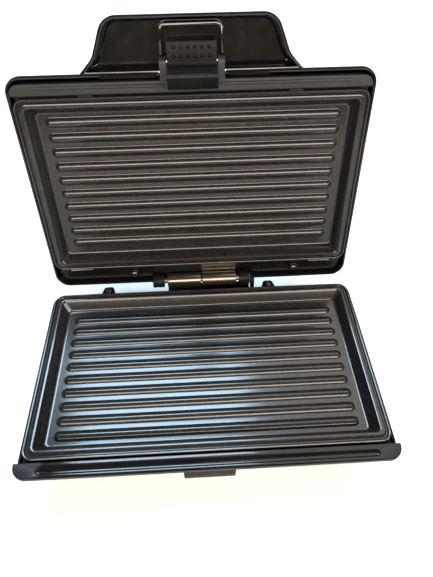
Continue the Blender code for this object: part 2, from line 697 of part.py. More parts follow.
def lid_front_deck():
    corners = [(LID_DECK_HALF_WIDTH, DECK_REAR_Y), (-LID_DECK_HALF_WIDTH, DECK_REAR_Y),
               (-LID_DECK_HALF_WIDTH, LID_DECK_FRONT_Y), (LID_DECK_HALF_WIDTH, LID_DECK_FRONT_Y)]
    outline = rounded_outline(corners, [0.6, 0.6, 6.4, 6.4])
    deck = place("lid_front_deck", slab(outline, -DECK_TOP_Z, 3.0), "grey_matt", LID, IN_LID)
    flange_end = LEDGE_DEPTH - GAP
    solids = [block(-110.0, 110.0, DECK_REAR_Y - 1.6, DECK_REAR_Y - 0.02, 2.0, flange_end),
              block(-110.0, 110.0, LID_DECK_FRONT_Y + 0.02, LID_DECK_FRONT_Y + 1.6, 2.0, flange_end)]
    for side in (-1, 1):
        ends = sorted((side * 17.8, side * 103.0))
        solids.append(block(*ends, GROOVE_Y + 0.2, GROOVE_Y + 1.9, -1.2, 1.0))
        near, far = sorted((side * EAR_INNER_X, side * EAR_OUTER_X))
        ear = rounded_outline([(-140.2, -DECK_TOP_Z + 0.02), (-140.2, 8.2), (-155.0, 8.2), (-155.0, 0.1)],
                              [0, 0, 3.4, 3.4], 4)
        solids.append(profile_bar([tuple(p) for p in ear], near, far))
    for solid in solids:
        combine(deck, solid, "UNION")
    bore = cylinder(LATCH_PIN_RADIUS + PIN_CLEARANCE, (-30.0, LATCH_PIVOT_Y, LATCH_PIVOT_Z),
                    (30.0, LATCH_PIVOT_Y, LATCH_PIVOT_Z), 16)
    return combine(deck, bore, "DIFFERENCE")


def lid_inner_frame():
    ring = [(117.2, -139.6, 13.2, 8.0, LEDGE_DEPTH), (113.2, -128.4, -4.6, 4.0, LEDGE_DEPTH),
            (113.2, -128.4, -4.6, 4.0, LEDGE_UNDER), (117.2, -139.6, 13.2, 8.0, LEDGE_UNDER)]
    ring_mesh = loft([box_ring(*section) for section in ring], closed=True)
    frame = place("lid_inner_frame", ring_mesh, "black_satin", LID, IN_LID)
    bosses = [cylinder(4.2, (x, LID_SCREW_Y, 7.5), (x, LID_SCREW_Y, 4.2), 16, 3.4) for x in LID_SCREW_X]
    return combine(frame, joined(*bosses), "UNION")


def latch():
    """One moulding: the ribbed pad, the pivot boss and the hook that reaches under the catch."""
    boss = []
    for degrees in (170, 130, 90, 50, 10, -25):
        angle = math.radians(degrees)
        boss.append((LATCH_PIVOT_Y + LATCH_BOSS_RADIUS * math.cos(angle),
                     LATCH_PIVOT_Z + LATCH_BOSS_RADIUS * math.sin(angle)))
    local = [(y - LATCH_PIVOT_Y, z - LATCH_PIVOT_Z) for y, z in LATCH_PAD + boss + LATCH_HOOK]
    body = place("latch", profile_bar(local, -LATCH_HALF_WIDTH, LATCH_HALF_WIDTH), "grey_matt", LATCH)
    combine(body, cylinder(LATCH_PIN_RADIUS + PIN_CLEARANCE, (-20.0, 0, 0), (20.0, 0, 0), 16), "DIFFERENCE")
    combine(body, block(-5.0, 5.0, -3.8, 3.8, -2.9, 4.0), "DIFFERENCE")
    place("latch_pin", cylinder(LATCH_PIN_RADIUS, (-20.4, 0, 0), (20.4, 0, 0), 16), "steel", LID,
          (0.0, LATCH_PIVOT_Y - HINGE_Y, LATCH_PIVOT_Z - HINGE_Z))
    turns, radius, wire = 5, 1.95, 0.35
    steps = turns * 10
    points = [(-4.0, -8.0, 0.6), (-4.0, -3.0, 1.0)]
    for i in range(steps + 1):
        angle = math.pi - math.tau * i / 10
        points.append((-3.8 + 7.6 * i / steps, radius * math.cos(angle), radius * math.sin(angle)))
    points += [(4.0, -3.0, 3.0), (4.0, -6.0, 6.0)]
    spring = tube("latch_spring", points, wire, "steel", LID, resolution=1)
    spring.location = Vector((0.0, LATCH_PIVOT_Y - HINGE_Y, LATCH_PIVOT_Z - HINGE_Z)) * MM


def lid():
    lid_outer_cover()
    handle()
    lid_front_deck()
    lid_inner_frame()
    for side, x in zip(("left", "right"), LID_SCREW_X):
        screw(f"lid_frame_screw_{side}", (x, LID_SCREW_Y, 4.2 - GAP), -1.0, 2.8, 1.3, LID, IN_LID)
    reflector_tray("upper_reflector_tray", 1, LID, IN_LID)
    heating_element("upper_heating_element", 1, LID, IN_LID)
    clip = [(10.4, 6.2), (10.4, 5.5), (1.9, 5.5), (1.5, 2.3), (0.9, 2.0), (0.4, 3.4), (1.0, 6.2)]
    for side, x in (("left", -1), ("right", 1)):
        element_clamp(f"upper_element_clamp_{side}", 60.0 * x, 1, LID, IN_LID)
        plate_clip(f"upper_plate_clip_{side}", 99.0 * x, 9.0, clip, 1, LID, IN_LID)
    plate = grill_plate("upper_grill_plate", 1, LID, IN_LID)
    lugs = [block(x - 4.5, x + 4.5, -PLATE_DEPTH - 0.95, 0.5 - PLATE_DEPTH, 1.8, 3.0) for x in (-70.0, 68.0)]
    for lug in lugs:
        combine(plate, lug, "UNION")
    for name, x, finish in (("power_lamp_lens", -LENS_X, "lens_red"), ("ready_lamp_lens", LENS_X, "lens_green")):
        low, high = (x, LENS_Y, LENS_TOP_Z - 5.0), (x, LENS_Y, LENS_TOP_Z)
        place(name, cylinder(LENS_RADIUS, low, high, 20, LENS_RADIUS - 0.5), finish, LID, IN_LID)
    latch()


base()
lid()
hinge()
bpy.context.view_layer.update()
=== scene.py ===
"""Looks of a two-slice panini press that stands open on a table.

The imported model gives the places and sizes. Each half has its own axes in millimetres: x runs along the
hinge, y is 0 at the plate's rear rim and falls to the front, and z is 0 on the plane of the rims. In the
base z falls into the housing, and in the closed lid it rises into the cover.
"""

import json
import math

import bmesh
import bpy
from mathutils import Matrix, Vector


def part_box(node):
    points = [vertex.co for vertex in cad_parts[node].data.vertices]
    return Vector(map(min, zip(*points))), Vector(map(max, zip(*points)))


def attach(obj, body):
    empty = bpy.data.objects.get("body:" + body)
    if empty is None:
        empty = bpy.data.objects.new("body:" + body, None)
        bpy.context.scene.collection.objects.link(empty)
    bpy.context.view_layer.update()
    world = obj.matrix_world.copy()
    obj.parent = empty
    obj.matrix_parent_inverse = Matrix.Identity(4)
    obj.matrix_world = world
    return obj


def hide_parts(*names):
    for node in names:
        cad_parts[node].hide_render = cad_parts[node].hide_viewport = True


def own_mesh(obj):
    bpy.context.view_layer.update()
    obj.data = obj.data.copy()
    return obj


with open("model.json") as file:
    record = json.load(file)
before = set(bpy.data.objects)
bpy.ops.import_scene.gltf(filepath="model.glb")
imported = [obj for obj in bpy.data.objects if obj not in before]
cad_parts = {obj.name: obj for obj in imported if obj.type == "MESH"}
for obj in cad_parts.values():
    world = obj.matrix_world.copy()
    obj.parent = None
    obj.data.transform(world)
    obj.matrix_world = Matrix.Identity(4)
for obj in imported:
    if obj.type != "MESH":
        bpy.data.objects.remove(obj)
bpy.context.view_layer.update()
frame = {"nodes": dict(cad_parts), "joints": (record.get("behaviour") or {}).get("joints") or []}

MM = 0.001
ROUND = 10          # steps in a rounded corner or a slot's round end
TURN = 48           # steps round a turned piece

# ---------------- the two halves' own axes

PLATE_CLEARANCE = 0.2       # how far a plate's rim stands off the plane of the rims
plate_low, plate_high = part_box("lower_grill_plate")
RIM_POINT = Vector(((plate_low.x + plate_high.x) / 2, plate_high.y, plate_high.z + PLATE_CLEARANCE * MM))
BASE = Matrix.Translation(RIM_POINT) @ Matrix.Scale(MM, 4)
HINGE = next(joint for joint in frame["joints"] if joint["name"] == "lid_hinge")
HINGE_PLACE = Matrix.Translation(HINGE["pos_m"])
OPENING = math.radians(HINGE["range_deg"][1])
LID = HINGE_PLACE @ Matrix.Rotation(-OPENING, 4, "X") @ HINGE_PLACE.inverted() @ BASE


def extent(node, half):
    """A CAD node's lowest and highest corners along a half's own axes, in millimetres."""
    back = half.inverted()
    points = [back @ vert.co for vert in frame["nodes"][node].data.vertices]
    low = Vector([min(point[i] for point in points) for i in range(3)])
    high = Vector([max(point[i] for point in points) for i in range(3)])
    return low, high


# ---------------- mesh helpers

def level(points, z):
    """Points in x and y, put at one height."""
    return [(x, y, z) for x, y in points]


def rounded_outline(corners, radii, steps=ROUND, bow=1.0):
    """A closed outline whose corners are arcs, or straight chamfers where bow is 0."""
    points = []
    count = len(corners)
    for i, corner in enumerate(corners):
        here = Vector(corner)
        before = (Vector(corners[i - 1]) - here).normalized()
        after = (Vector(corners[(i + 1) % count]) - here).normalized()
        half = before.angle(after) / 2
        reach = radii[i] / math.tan(half)
        centre = here + (before + after).normalized() * (radii[i] / math.sin(half))
        start = here + before * reach
        end = here + after * reach
        turn = math.pi - 2 * half
        side = 1.0 if before.cross(after) < 0 else -1.0
        for k in range(steps + 1):
            arc = centre + Matrix.Rotation(side * turn * k / steps, 2) @ (start - centre)
            points.append(start.lerp(end, k / steps).lerp(arc, bow))
    return points


def box_ring(half_width, front, rear, radius, z, bow=1.0):
    """A level ring round a box, with rounded corners."""
    corners = [(half_width, rear), (-half_width, rear), (-half_width, front), (half_width, front)]
    return level(rounded_outline(corners, [radius] * 4, bow=bow), z)


def slot_ring(half_length, y, radius, z, steps=ROUND):
    """A ring with straight sides and round ends. Its half length is measured to the centres of the ends."""
    ring = []
    for end in (1, -1):
        for k in range(steps + 1):
            angle = math.pi * (k / steps - 0.5)
            across, along = radius * math.sin(angle), half_length + radius * math.cos(angle)
            ring.append((end * along, y + end * across, z))
    return ring


def inset_corners(corners, distance):
    """The corners of an outline whose sides are all moved inwards. The outline runs counterclockwise."""
    moved = []
    for i, corner in enumerate(corners):
        here = Vector(corner)
        come = (here - Vector(corners[i - 1])).normalized()
        go = (Vector(corners[(i + 1) % len(corners)]) - here).normalized()
        first, second = Vector((-come.y, come.x)), Vector((-go.y, go.x))
        moved.append(here + (first + second) * (distance / (1 + first.dot(second))))
    return moved


def through(sections, steps=5):
    """More sections between the given ones, on a smooth curve through them."""
    made = []
    last = len(sections) - 1
    for i in range(last):
        a, b = sections[max(i - 1, 0)], sections[i]
        c, d = sections[i + 1], sections[min(i + 2, last)]
        for k in range(steps):
            t = k / steps
            made.append(tuple(
                0.5 * (2 * q + (r - p) * t + (2 * p - 5 * q + 4 * r - s) * t * t
                       + (3 * q - p - 3 * r + s) * t ** 3)
                for p, q, r, s in zip(a, b, c, d)))
    made.append(sections[-1])
    return made


def add_rings(bm, rings, closed=False, caps=(True, True)):
    """Bridges rings that have the same number of points, and returns the first and the last as vertices."""
    loops = [[bm.verts.new(point) for point in ring] for ring in rings]
    pairs = list(zip(loops, loops[1:]))
    if closed:
        pairs.append((loops[-1], loops[0]))
    for a, b in pairs:
        for i in range(len(a)):
            j = (i + 1) % len(a)
            bm.faces.new((a[i], a[j], b[j], b[i]))
    if not closed:
        for loop, capped in zip((loops[0], loops[-1]), caps):
            if capped:
                bm.faces.new(loop)
    return loops[0], loops[-1]


def add_floor(bm, loops):
    """Fills the flat area inside the first loop and outside the others."""
    edges = []
    for loop in loops:
        for a, b in zip(loop, loop[1:] + loop[:1]):
            edges.append(bm.edges.get((a, b)) or bm.edges.new((a, b)))
    bmesh.ops.triangle_fill(bm, use_beauty=True, edges=edges)


def add_bar(bm, outline, left, right):
    """An outline in y and z, drawn out along x."""
    add_rings(bm, [[(left, y, z) for y, z in outline], [(right, y, z) for y, z in outline]])


def add_slab(bm, outline, low, high):
    """An outline in x and y, given thickness in z."""
    add_rings(bm, [level(outline, low), level(outline, high)])


def add_block(bm, left, right, front, rear, low, high):
    """A plain box between two corners."""
    size = Vector((right - left, rear - front, high - low))
    middle = Vector((left + right, front + rear, low + high)) / 2
    bmesh.ops.create_cube(bm, size=1.0, matrix=Matrix.Translation(middle) @ Matrix.Diagonal((*size, 1.0)))


def add_turned(bm, profile, start, direction, steps=TURN, closed=False):
    """A turned form. Its profile gives the radius and the height along the direction from the start."""
    place = Matrix.Translation(start) @ Vector(direction).to_track_quat("Z", "Y").to_matrix().to_4x4()
    rings = []
    for radius, height in profile:
        angles = [math.tau * k / steps for k in range(steps)]
        rings.append([place @ Vector((radius * math.cos(a), radius * math.sin(a), height)) for a in angles])
    add_rings(bm, rings, closed)


def make_piece(name, bm, half, finish, body, replaces=(), bevel=0.0, sharp=30.0):
    """Turns a shape in a half's millimetres into a piece that rides on a body and stands for CAD nodes."""
    bmesh.ops.recalc_face_normals(bm, faces=bm.faces)
    mesh = bpy.data.meshes.new(name)
    bm.to_mesh(mesh)
    bm.free()
    mesh.transform(half)
    mesh.materials.append(MATERIALS[finish])
    mesh.shade_smooth()
    if not bevel:
        mesh.set_sharp_from_angle(angle=math.radians(sharp))
    made = bpy.data.objects.new(name, mesh)
    bpy.context.scene.collection.objects.link(made)
    if bevel:
        edge = made.modifiers.new("rounded_edges", "BEVEL")
        edge.width = bevel * MM
        edge.segments = 3
        edge.limit_method = "ANGLE"
        edge.angle_limit = math.radians(sharp)
        edge.harden_normals = True
    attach(made, body)
    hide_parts(*replaces)
    return made


def cut(bm, cutters):
    """The shape less its cutters, by an exact Boolean."""
    objects = []
    for shape in (bm, cutters):
        bmesh.ops.recalc_face_normals(shape, faces=shape.faces)
        mesh = bpy.data.meshes.new("operand")
        shape.to_mesh(mesh)
        shape.free()
        objects.append(bpy.data.objects.new("operand", mesh))
        bpy.context.scene.collection.objects.link(objects[-1])
    body, tool = objects
    difference = body.modifiers.new("cut", "BOOLEAN")
    difference.operation = "DIFFERENCE"
    difference.object = tool
    difference.use_self = True
    result = bmesh.new()
    result.from_object(body, bpy.context.evaluated_depsgraph_get())
    for spent in objects:
        bpy.data.objects.remove(spent, do_unlink=True)
    return result


# ---------------- materials

class Shading:
    """A Principled material under construction. Its textures lie in metres on the piece itself."""

    def __init__(self, name, roughness, metallic=0.0, specular=0.5):
        self.material = bpy.data.materials.new(name)
        self.material.use_nodes = True
        self.tree = self.material.node_tree
        self.shader = self.tree.nodes["Principled BSDF"]
        self.shader.inputs["Roughness"].default_value = roughness
        self.shader.inputs["Metallic"].default_value = metallic
        self.shader.inputs["Specular IOR Level"].default_value = specular
        self.place = self.tree.nodes.new("ShaderNodeTexCoord").outputs["Object"]

    def link(self, output, socket):
        self.tree.links.new(output, socket)

    def noise(self, scale, detail=3.0, stretch=(1.0, 1.0, 1.0), rough=0.5):
        """Noise with about scale features to the metre, more along an axis that is stretched."""
        mapping = self.tree.nodes.new("ShaderNodeMapping")
        mapping.inputs["Scale"].default_value = stretch
        self.link(self.place, mapping.inputs["Vector"])
        node = self.tree.nodes.new("ShaderNodeTexNoise")
        node.inputs["Scale"].default_value = scale
        node.inputs["Detail"].default_value = detail
        node.inputs["Roughness"].default_value = rough
        self.link(mapping.outputs["Vector"], node.inputs["Vector"])
        return node.outputs["Fac"]

    def cells(self, scale):
        """The distance from the middle of the nearest cell, for a moulded grain."""
        node = self.tree.nodes.new("ShaderNodeTexVoronoi")
        node.inputs["Scale"].default_value = scale
        self.link(self.place, node.inputs["Vector"])
        return node.outputs["Distance"]

    def between(self, value, low, high, start=0.3, end=0.7):
        """The value spread so that start gives low and end gives high."""
        node = self.tree.nodes.new("ShaderNodeMapRange")
        node.inputs["From Min"].default_value = start
        node.inputs["From Max"].default_value = end
        node.inputs["To Min"].default_value = low
        node.inputs["To Max"].default_value = high
        self.link(value, node.inputs["Value"])
        return node.outputs["Result"]

    def colours(self, value, stops):
        """A ramp of colours over the value."""
        node = self.tree.nodes.new("ShaderNodeValToRGB")
        ramp = node.color_ramp
        while len(ramp.elements) < len(stops):
            ramp.elements.new(0.5)
        for element, (position, colour) in zip(ramp.elements, stops):
            element.position = position
            element.color = (*colour, 1.0)
        self.link(value, node.inputs["Fac"])
        return node.outputs["Color"]

    def mixed(self, factor, first, second):
        node = self.tree.nodes.new("ShaderNodeMix")
        node.data_type = "RGBA"
        self.link(factor, node.inputs["Factor"])
        self.link(first, node.inputs["A"])
        self.link(second, node.inputs["B"])
        return node.outputs["Result"]

    def colour(self, output):
        self.link(output, self.shader.inputs["Base Color"])

    def mottle(self, value, dark, light, start=0.3, end=0.75):
        """Colours the surface from dark to light over the value."""
        self.colour(self.colours(value, [(start, dark), (end, light)]))

    def roughness(self, output):
        self.link(output, self.shader.inputs["Roughness"])

    def bump(self, height, distance, strength=1.0, after=None):
        """Relief by a height, in metres, on top of an earlier bump if one is given."""
        node = self.tree.nodes.new("ShaderNodeBump")
        node.inputs["Distance"].default_value = distance
        node.inputs["Strength"].default_value = strength
        self.link(height, node.inputs["Height"])
        if after is not None:
            self.link(after, node.inputs["Normal"])
        self.link(node.outputs["Normal"], self.shader.inputs["Normal"])
        return node.outputs["Normal"]

    def coat(self, weight, roughness):
        self.shader.inputs["Coat Weight"].default_value = weight
        self.shader.inputs["Coat Roughness"].default_value = roughness


def coating():
    """Fired non-stick coating: near-black with a fine pale speckle, a faint sheen and a thin gloss."""
    made = Shading("coating", 0.5, 0.0, 0.09)
    speckle = made.colours(made.noise(950.0, 2.0), [
        (0.50, (0.0022, 0.0021, 0.0019)), (0.66, (0.036, 0.034, 0.031))])
    stain = made.colours(made.noise(22.0, 4.0), [
        (0.35, (0.0030, 0.0028, 0.0025)), (0.75, (0.0062, 0.0059, 0.0054))])
    made.colour(made.mixed(made.between(made.noise(900.0), 0.35, 0.85), speckle, stain))
    made.roughness(made.between(made.noise(60.0, 5.0), 0.34, 0.46))
    fine = made.bump(made.noise(1300.0, 3.0), 0.00006, 0.7)
    made.bump(made.noise(160.0, 2.0), 0.00008, 0.2, fine)
    made.coat(0.52, 0.14)
    return made.material


def black_gloss():
    """Polished black plastic with a faint ripple, and a gloss that varies from place to place."""
    made = Shading("black_gloss", 0.12, 0.0, 0.20)
    made.mottle(made.noise(14.0, 4.0), (0.0018, 0.0018, 0.0018), (0.0042, 0.0040, 0.0038), end=0.8)
    made.roughness(made.between(made.noise(110.0, 6.0, rough=0.65), 0.07, 0.20))
    made.bump(made.noise(55.0, 2.0), 0.00018, 0.3)
    made.coat(0.35, 0.05)
    return made.material


def black_satin():
    """Black plastic with a fine moulded grain."""
    made = Shading("black_satin", 0.42, 0.0, 0.07)
    made.mottle(made.noise(30.0, 4.0), (0.0022, 0.0022, 0.0022), (0.0045, 0.0045, 0.0045), end=0.8)
    made.roughness(made.between(made.noise(240.0, 4.0), 0.34, 0.52))
    made.bump(made.cells(1700.0), 0.00006, 0.5)
    return made.material


def grey_matt():
    """Dark grey plastic with a satin skin and a fine grain."""
    made = Shading("grey_matt", 0.46, 0.0, 0.18)
    made.mottle(made.noise(45.0, 5.0), (0.0090, 0.0096, 0.0103), (0.0135, 0.0145, 0.0156))
    made.roughness(made.between(made.noise(300.0, 4.0), 0.38, 0.54))
    made.bump(made.cells(2100.0), 0.00004, 0.45)
    return made.material


def hinge_metal():
    """Dark plated steel with a fine turned grain and faint wear."""
    made = Shading("hinge_metal", 0.24, 0.9, 0.5)
    grain = made.noise(420.0, 4.0, stretch=(14.0, 1.0, 1.0))
    made.mottle(grain, (0.070, 0.060, 0.046), (0.110, 0.095, 0.076), 0.35, 0.7)
    made.roughness(made.between(made.noise(90.0, 4.0), 0.18, 0.30))
    made.bump(grain, 0.000008, 0.4)
    return made.material


def bare_metal(name, dark, light, roughness, stretch, scratch):
    """Plain metal with a rolled or turned grain."""
    made = Shading(name, sum(roughness) / 2, 1.0)
    grain = made.noise(180.0, 5.0, stretch=stretch)
    made.mottle(grain, dark, light, end=0.7)
    made.roughness(made.between(made.noise(120.0, 4.0), *roughness))
    made.bump(grain, scratch, 0.4)
    return made.material


def element_sheath():
    """The heat-tinted oxide skin of a sheathed element."""
    made = Shading("element_sheath", 0.5, 0.8)
    made.colour(made.colours(made.noise(70.0, 5.0), [
        (0.25, (0.10, 0.085, 0.075)), (0.5, (0.19, 0.175, 0.16)), (0.75, (0.13, 0.12, 0.14))]))
    made.roughness(made.between(made.noise(400.0), 0.42, 0.62))
    made.bump(made.noise(900.0), 0.00004, 0.6)
    return made.material


def rubber():
    """Dull black rubber with a fine grain."""
    made = Shading("rubber", 0.85, 0.0, 0.3)
    made.mottle(made.noise(120.0, 5.0), (0.012, 0.012, 0.012), (0.026, 0.026, 0.025))
    made.bump(made.noise(1300.0, 4.0), 0.00008, 0.6)
    return made.material


def pale_solid(name, dark, light, roughness, grain):
    """A pale fired or woven insulator."""
    made = Shading(name, roughness, 0.0, 0.4)
    made.mottle(made.noise(grain / 8, 5.0), dark, light)
    made.bump(made.noise(grain, 4.0), 0.00008, 0.5)
    return made.material


def lamp_lens(name, deep, bright):
    """A tinted lens, partly clear, with a faint mottle."""
    made = Shading(name, 0.08, 0.0, 0.5)
    made.mottle(made.noise(160.0, 2.0), deep, bright, 0.35, 0.7)
    made.roughness(made.between(made.noise(300.0), 0.05, 0.12))
    made.shader.inputs["Transmission Weight"].default_value = 0.25
    made.coat(0.6, 0.04)
    return made.material


# the base's front strip is glossy as far as this from its middle, and then turns matt, in millimetres
DECK_GLOSS_END, DECK_GLOSS_FADE = 104.0, 5.0
DECK_MATT_ROUGHNESS = 0.34      # how much rougher the matt ends are


def deck_gloss():
    """The base's front strip: glossy black along its length, and matt grey at both ends."""
    made = Shading("deck_gloss", 0.2, 0.0, 0.20)
    across = made.tree.nodes.new("ShaderNodeSeparateXYZ")
    made.link(made.place, across.inputs["Vector"])
    reach = made.tree.nodes.new("ShaderNodeMath")
    reach.operation = "ABSOLUTE"
    made.link(across.outputs["X"], reach.inputs[0])
    matt_start, matt_full = DECK_GLOSS_END * MM, (DECK_GLOSS_END + DECK_GLOSS_FADE) * MM
    end = made.between(reach.outputs["Value"], 0.0, 1.0, matt_start, matt_full)
    gloss = made.colours(made.noise(26.0, 5.0), [
        (0.3, (0.0022, 0.0022, 0.0022)), (0.8, (0.006, 0.006, 0.006))])
    matt = made.colours(made.noise(60.0, 5.0), [
        (0.3, (0.0050, 0.0050, 0.0050)), (0.8, (0.0080, 0.0080, 0.0078))])
    made.colour(made.mixed(end, gloss, matt))
    worn = made.between(made.noise(70.0, 6.0, rough=0.65), 0.05, 0.15)
    dull = made.tree.nodes.new("ShaderNodeMath")
    dull.operation = "MULTIPLY_ADD"
    dull.inputs[1].default_value = DECK_MATT_ROUGHNESS
    made.link(end, dull.inputs[0])
    made.link(worn, dull.inputs[2])
    made.roughness(dull.outputs["Value"])
    made.bump(made.noise(420.0, 3.0), 0.00003, 0.4)
    return made.material


def latch_satin():
    """The latch's dark plastic, smoother than the deck beside it."""
    made = Shading("latch_satin", 0.36, 0.0, 0.07)
    made.mottle(made.noise(60.0, 5.0), (0.0020, 0.0021, 0.0024), (0.0042, 0.0045, 0.0050))
    made.roughness(made.between(made.noise(260.0, 4.0), 0.28, 0.44))
    made.bump(made.cells(2100.0), 0.00003, 0.4)
    return made.material


def frame_gloss():
    """The lid's inner frame: black plastic with a half gloss."""
    made = Shading("frame_gloss", 0.25, 0.0, 0.2)
    made.mottle(made.noise(30.0, 4.0), (0.0016, 0.0016, 0.0016), (0.0040, 0.0040, 0.0039), end=0.8)
    made.roughness(made.between(made.noise(140.0, 5.0), 0.18, 0.34))
    made.bump(made.noise(300.0, 3.0), 0.00004, 0.4)
    return made.material


# the finishes, by name
MATERIALS = {
    "frame_gloss": frame_gloss(),
    "deck_gloss": deck_gloss(),
    "latch_satin": latch_satin(),
    "dark_steel": bare_metal("dark_steel", (0.055, 0.053, 0.050), (0.11, 0.106, 0.10), (0.3, 0.48),
                             (1.0, 1.0, 6.0), 0.00002),
    "coating": coating(),
    "black_gloss": black_gloss(),
    "black_satin": black_satin(),
    "grey_matt": grey_matt(),
    "hinge_metal": hinge_metal(),
    "steel": bare_metal("steel", (0.42, 0.42, 0.41), (0.62, 0.61, 0.60), (0.22, 0.36),
                        (1.0, 1.0, 6.0), 0.00002),
    "bright_tin": bare_metal("bright_tin", (0.62, 0.60, 0.64), (0.80, 0.79, 0.78), (0.24, 0.42),
                             (5.0, 1.0, 1.0), 0.00003),
    "element_sheath": element_sheath(),
    "rubber": rubber(),
    "ceramic": pale_solid("ceramic", (0.66, 0.62, 0.55), (0.78, 0.75, 0.69), 0.6, 900.0),
    "sleeve_white": pale_solid("sleeve_white", (0.60, 0.58, 0.52), (0.74, 0.72, 0.67), 0.75, 1800.0),
    "lens_red": lamp_lens("lens_red", (0.28, 0.010, 0.010), (0.48, 0.025, 0.02)),
    "lens_green": lamp_lens("lens_green", (0.015, 0.20, 0.03), (0.04, 0.34, 0.06)),
}

# CAD nodes whose shape is right as it is, by finish
KEPT_NODES = {
    "dark_steel": ["hinge_pin"],
    "steel": ["latch_pin", "latch_spring"],
    "bright_tin": ["lower_reflector_tray", "upper_reflector_tray", "lower_element_clamp_left",
                   "lower_element_clamp_right", "upper_element_clamp_left", "upper_element_clamp_right"],
    "element_sheath": ["lower_heating_element", "upper_heating_element"],
    "ceramic": ["thermostat"],
    "sleeve_white": ["terminal_block", "thermal_fuse", "live_lead", "neutral_lead", "fuse_link_lead"],
}


def finish_kept_nodes():
    """Gives the kept CAD nodes their finishes."""
    for finish, names in KEPT_NODES.items():
        for name in names:
            mesh = frame["nodes"][name].data
            mesh.materials.clear()
            mesh.materials.append(MATERIALS[finish])


# ---------------- the two ribbed plates

PLATE_WIDTH = plate_high.x / MM - plate_low.x / MM
PLATE_DEPTH = plate_high.y / MM - plate_low.y / MM
PAN_DEPTH = 8.4
RIB_COUNT = 10
RIB_PITCH = 10.45
RIB_REAR_Y = -21.0
RIB_CENTRE_X = 98.2         # the middle of a rib's round end
# the lip, the pan's wall and its foot: how far in from the rim, how deep, and the corner's radius and bow
PLATE_EDGE = [
    (0.0, 6.0, 7.0, 1.0), (0.0, 0.7, 7.0, 1.0), (0.15, 0.25, 6.9, 1.0), (0.5, 0.0, 6.6, 1.0),
    (1.1, 0.0, 6.1, 1.0), (1.45, 0.2, 5.9, 1.0), (1.7, 0.9, 5.7, 1.0), (2.1, 1.35, 5.5, 1.0),
    (2.8, 1.35, 5.0, 1.0), (3.2, 0.9, 4.8, 1.0), (3.4, 0.2, 4.6, 1.0), (3.75, 0.0, 4.4, 1.0),
    (5.7, 0.0, 3.2, 0.9), (6.3, 0.2, 2.8, 0.7), (6.7, 0.75, 2.5, 0.4), (7.0, 1.3, 2.3, 0.1),
    (10.1, 7.2, 2.0, 0.0), (10.4, 7.75, 2.0, 0.0), (10.9, 8.2, 2.0, 0.1), (11.6, PAN_DEPTH, 2.0, 0.2),
    (12.2, PAN_DEPTH, 2.0, 0.3),
]
PLATE_UNDER = [
    (13.0, PAN_DEPTH + 2.4, 2.0, 1.0), (5.0, 2.8, 4.0, 1.0), (1.8, 2.8, 5.6, 1.0), (1.8, 6.0, 5.6, 1.0),
]
RIB_HEIGHT = 2.0
RIB_ARC_RADIUS = 3.72
# a rib's half widths, from its foot to its crown
RIB_HALF_WIDTHS = [3.2, 3.0, 2.7, 2.35, 1.95, 1.5, 1.0, 0.5, 0.15]


def rib_section():
    """Half widths and heights: a small fillet at the foot, and a round arc over it."""
    section = [(4.3, 0.0), (3.8, 0.01), (3.5, 0.05), (3.32, 0.12)]
    for half_width in RIB_HALF_WIDTHS:
        drop = RIB_ARC_RADIUS - math.sqrt(RIB_ARC_RADIUS ** 2 - half_width ** 2)
        section.append((half_width, RIB_HEIGHT - drop))
    return section


def grill_plate(name, into, half, tabs=()):
    """A cast pan with a double lip, round ribs and any catch tabs. The sign into is its depth's way in z."""
    bm = bmesh.new()

    def ring(inset, depth, radius, bow):
        z = into * (PLATE_CLEARANCE + depth)
        return box_ring(PLATE_WIDTH / 2 - inset, inset - PLATE_DEPTH, -inset, radius, z, bow=bow)

    rings = [ring(*section) for section in PLATE_UNDER + PLATE_EDGE]
    floor = [add_rings(bm, rings, caps=(True, False))[1]]
    for i in range(RIB_COUNT):
        y = RIB_REAR_Y - RIB_PITCH * i
        stack = [slot_ring(RIB_CENTRE_X, y, radius, into * (PLATE_CLEARANCE + PAN_DEPTH - height))
                 for radius, height in rib_section()]
        floor.append(add_rings(bm, stack, caps=(False, True))[0])
    add_floor(bm, floor)
    for x in tabs:
        tab = rounded_outline([(x - 4.5, -PLATE_DEPTH - 0.9), (x + 4.5, -PLATE_DEPTH - 0.9),
                               (x + 4.5, 0.4 - PLATE_DEPTH), (x - 4.5, 0.4 - PLATE_DEPTH)], [0.5] * 4, 4)
        add_slab(bm, tab, 1.8, 3.0)
    body = name.replace("_grill", "")
    return make_piece(f"{name}_cast", bm, half, "coating", body, [name])


# ---------------- small fasteners and trim

# a pan head's radius and height, as shares of the whole
PAN_HEAD = [
    (0.98, 0.0), (1.0, 0.08), (0.99, 0.3), (0.93, 0.56), (0.8, 0.78), (0.58, 0.93), (0.3, 0.99), (0.04, 1.0),
]


def screw_head(name, node, half, out, finish="steel"):
    """A pan head with a tapered cross recess. The sign out is the way that it points in z."""
    low, high = extent(node, half)
    height = high.z - low.z
    x, y, radius = (low.x + high.x) / 2, (low.y + high.y) / 2, (high.x - low.x) / 2
    seat = low.z if out > 0 else high.z
    head = bmesh.new()
    profile = [(radius * share, height * level) for share, level in PAN_HEAD]
    add_turned(head, profile, (x, y, seat), (0, 0, out), 32)
    cross = bmesh.new()
    arm, blade = radius * 0.5, radius * 0.13
    for wide, deep in ((arm, blade), (blade, arm)):
        rings = []
        for share, level in ((1.0, 1.3), (0.45, 0.35)):
            rings.append([(x + wide * share * a, y + deep * share * b, seat + out * height * level)
                          for a, b in ((-1, -1), (1, -1), (1, 1), (-1, 1))])
        add_rings(cross, rings)
    bm = cut(head, cross)
    return make_piece(name, bm, half, finish, fixed_body(half), [node])


def fixed_body(half):
    """The body that a half's fixed pieces ride on."""
    return "base" if half is BASE else "lid"


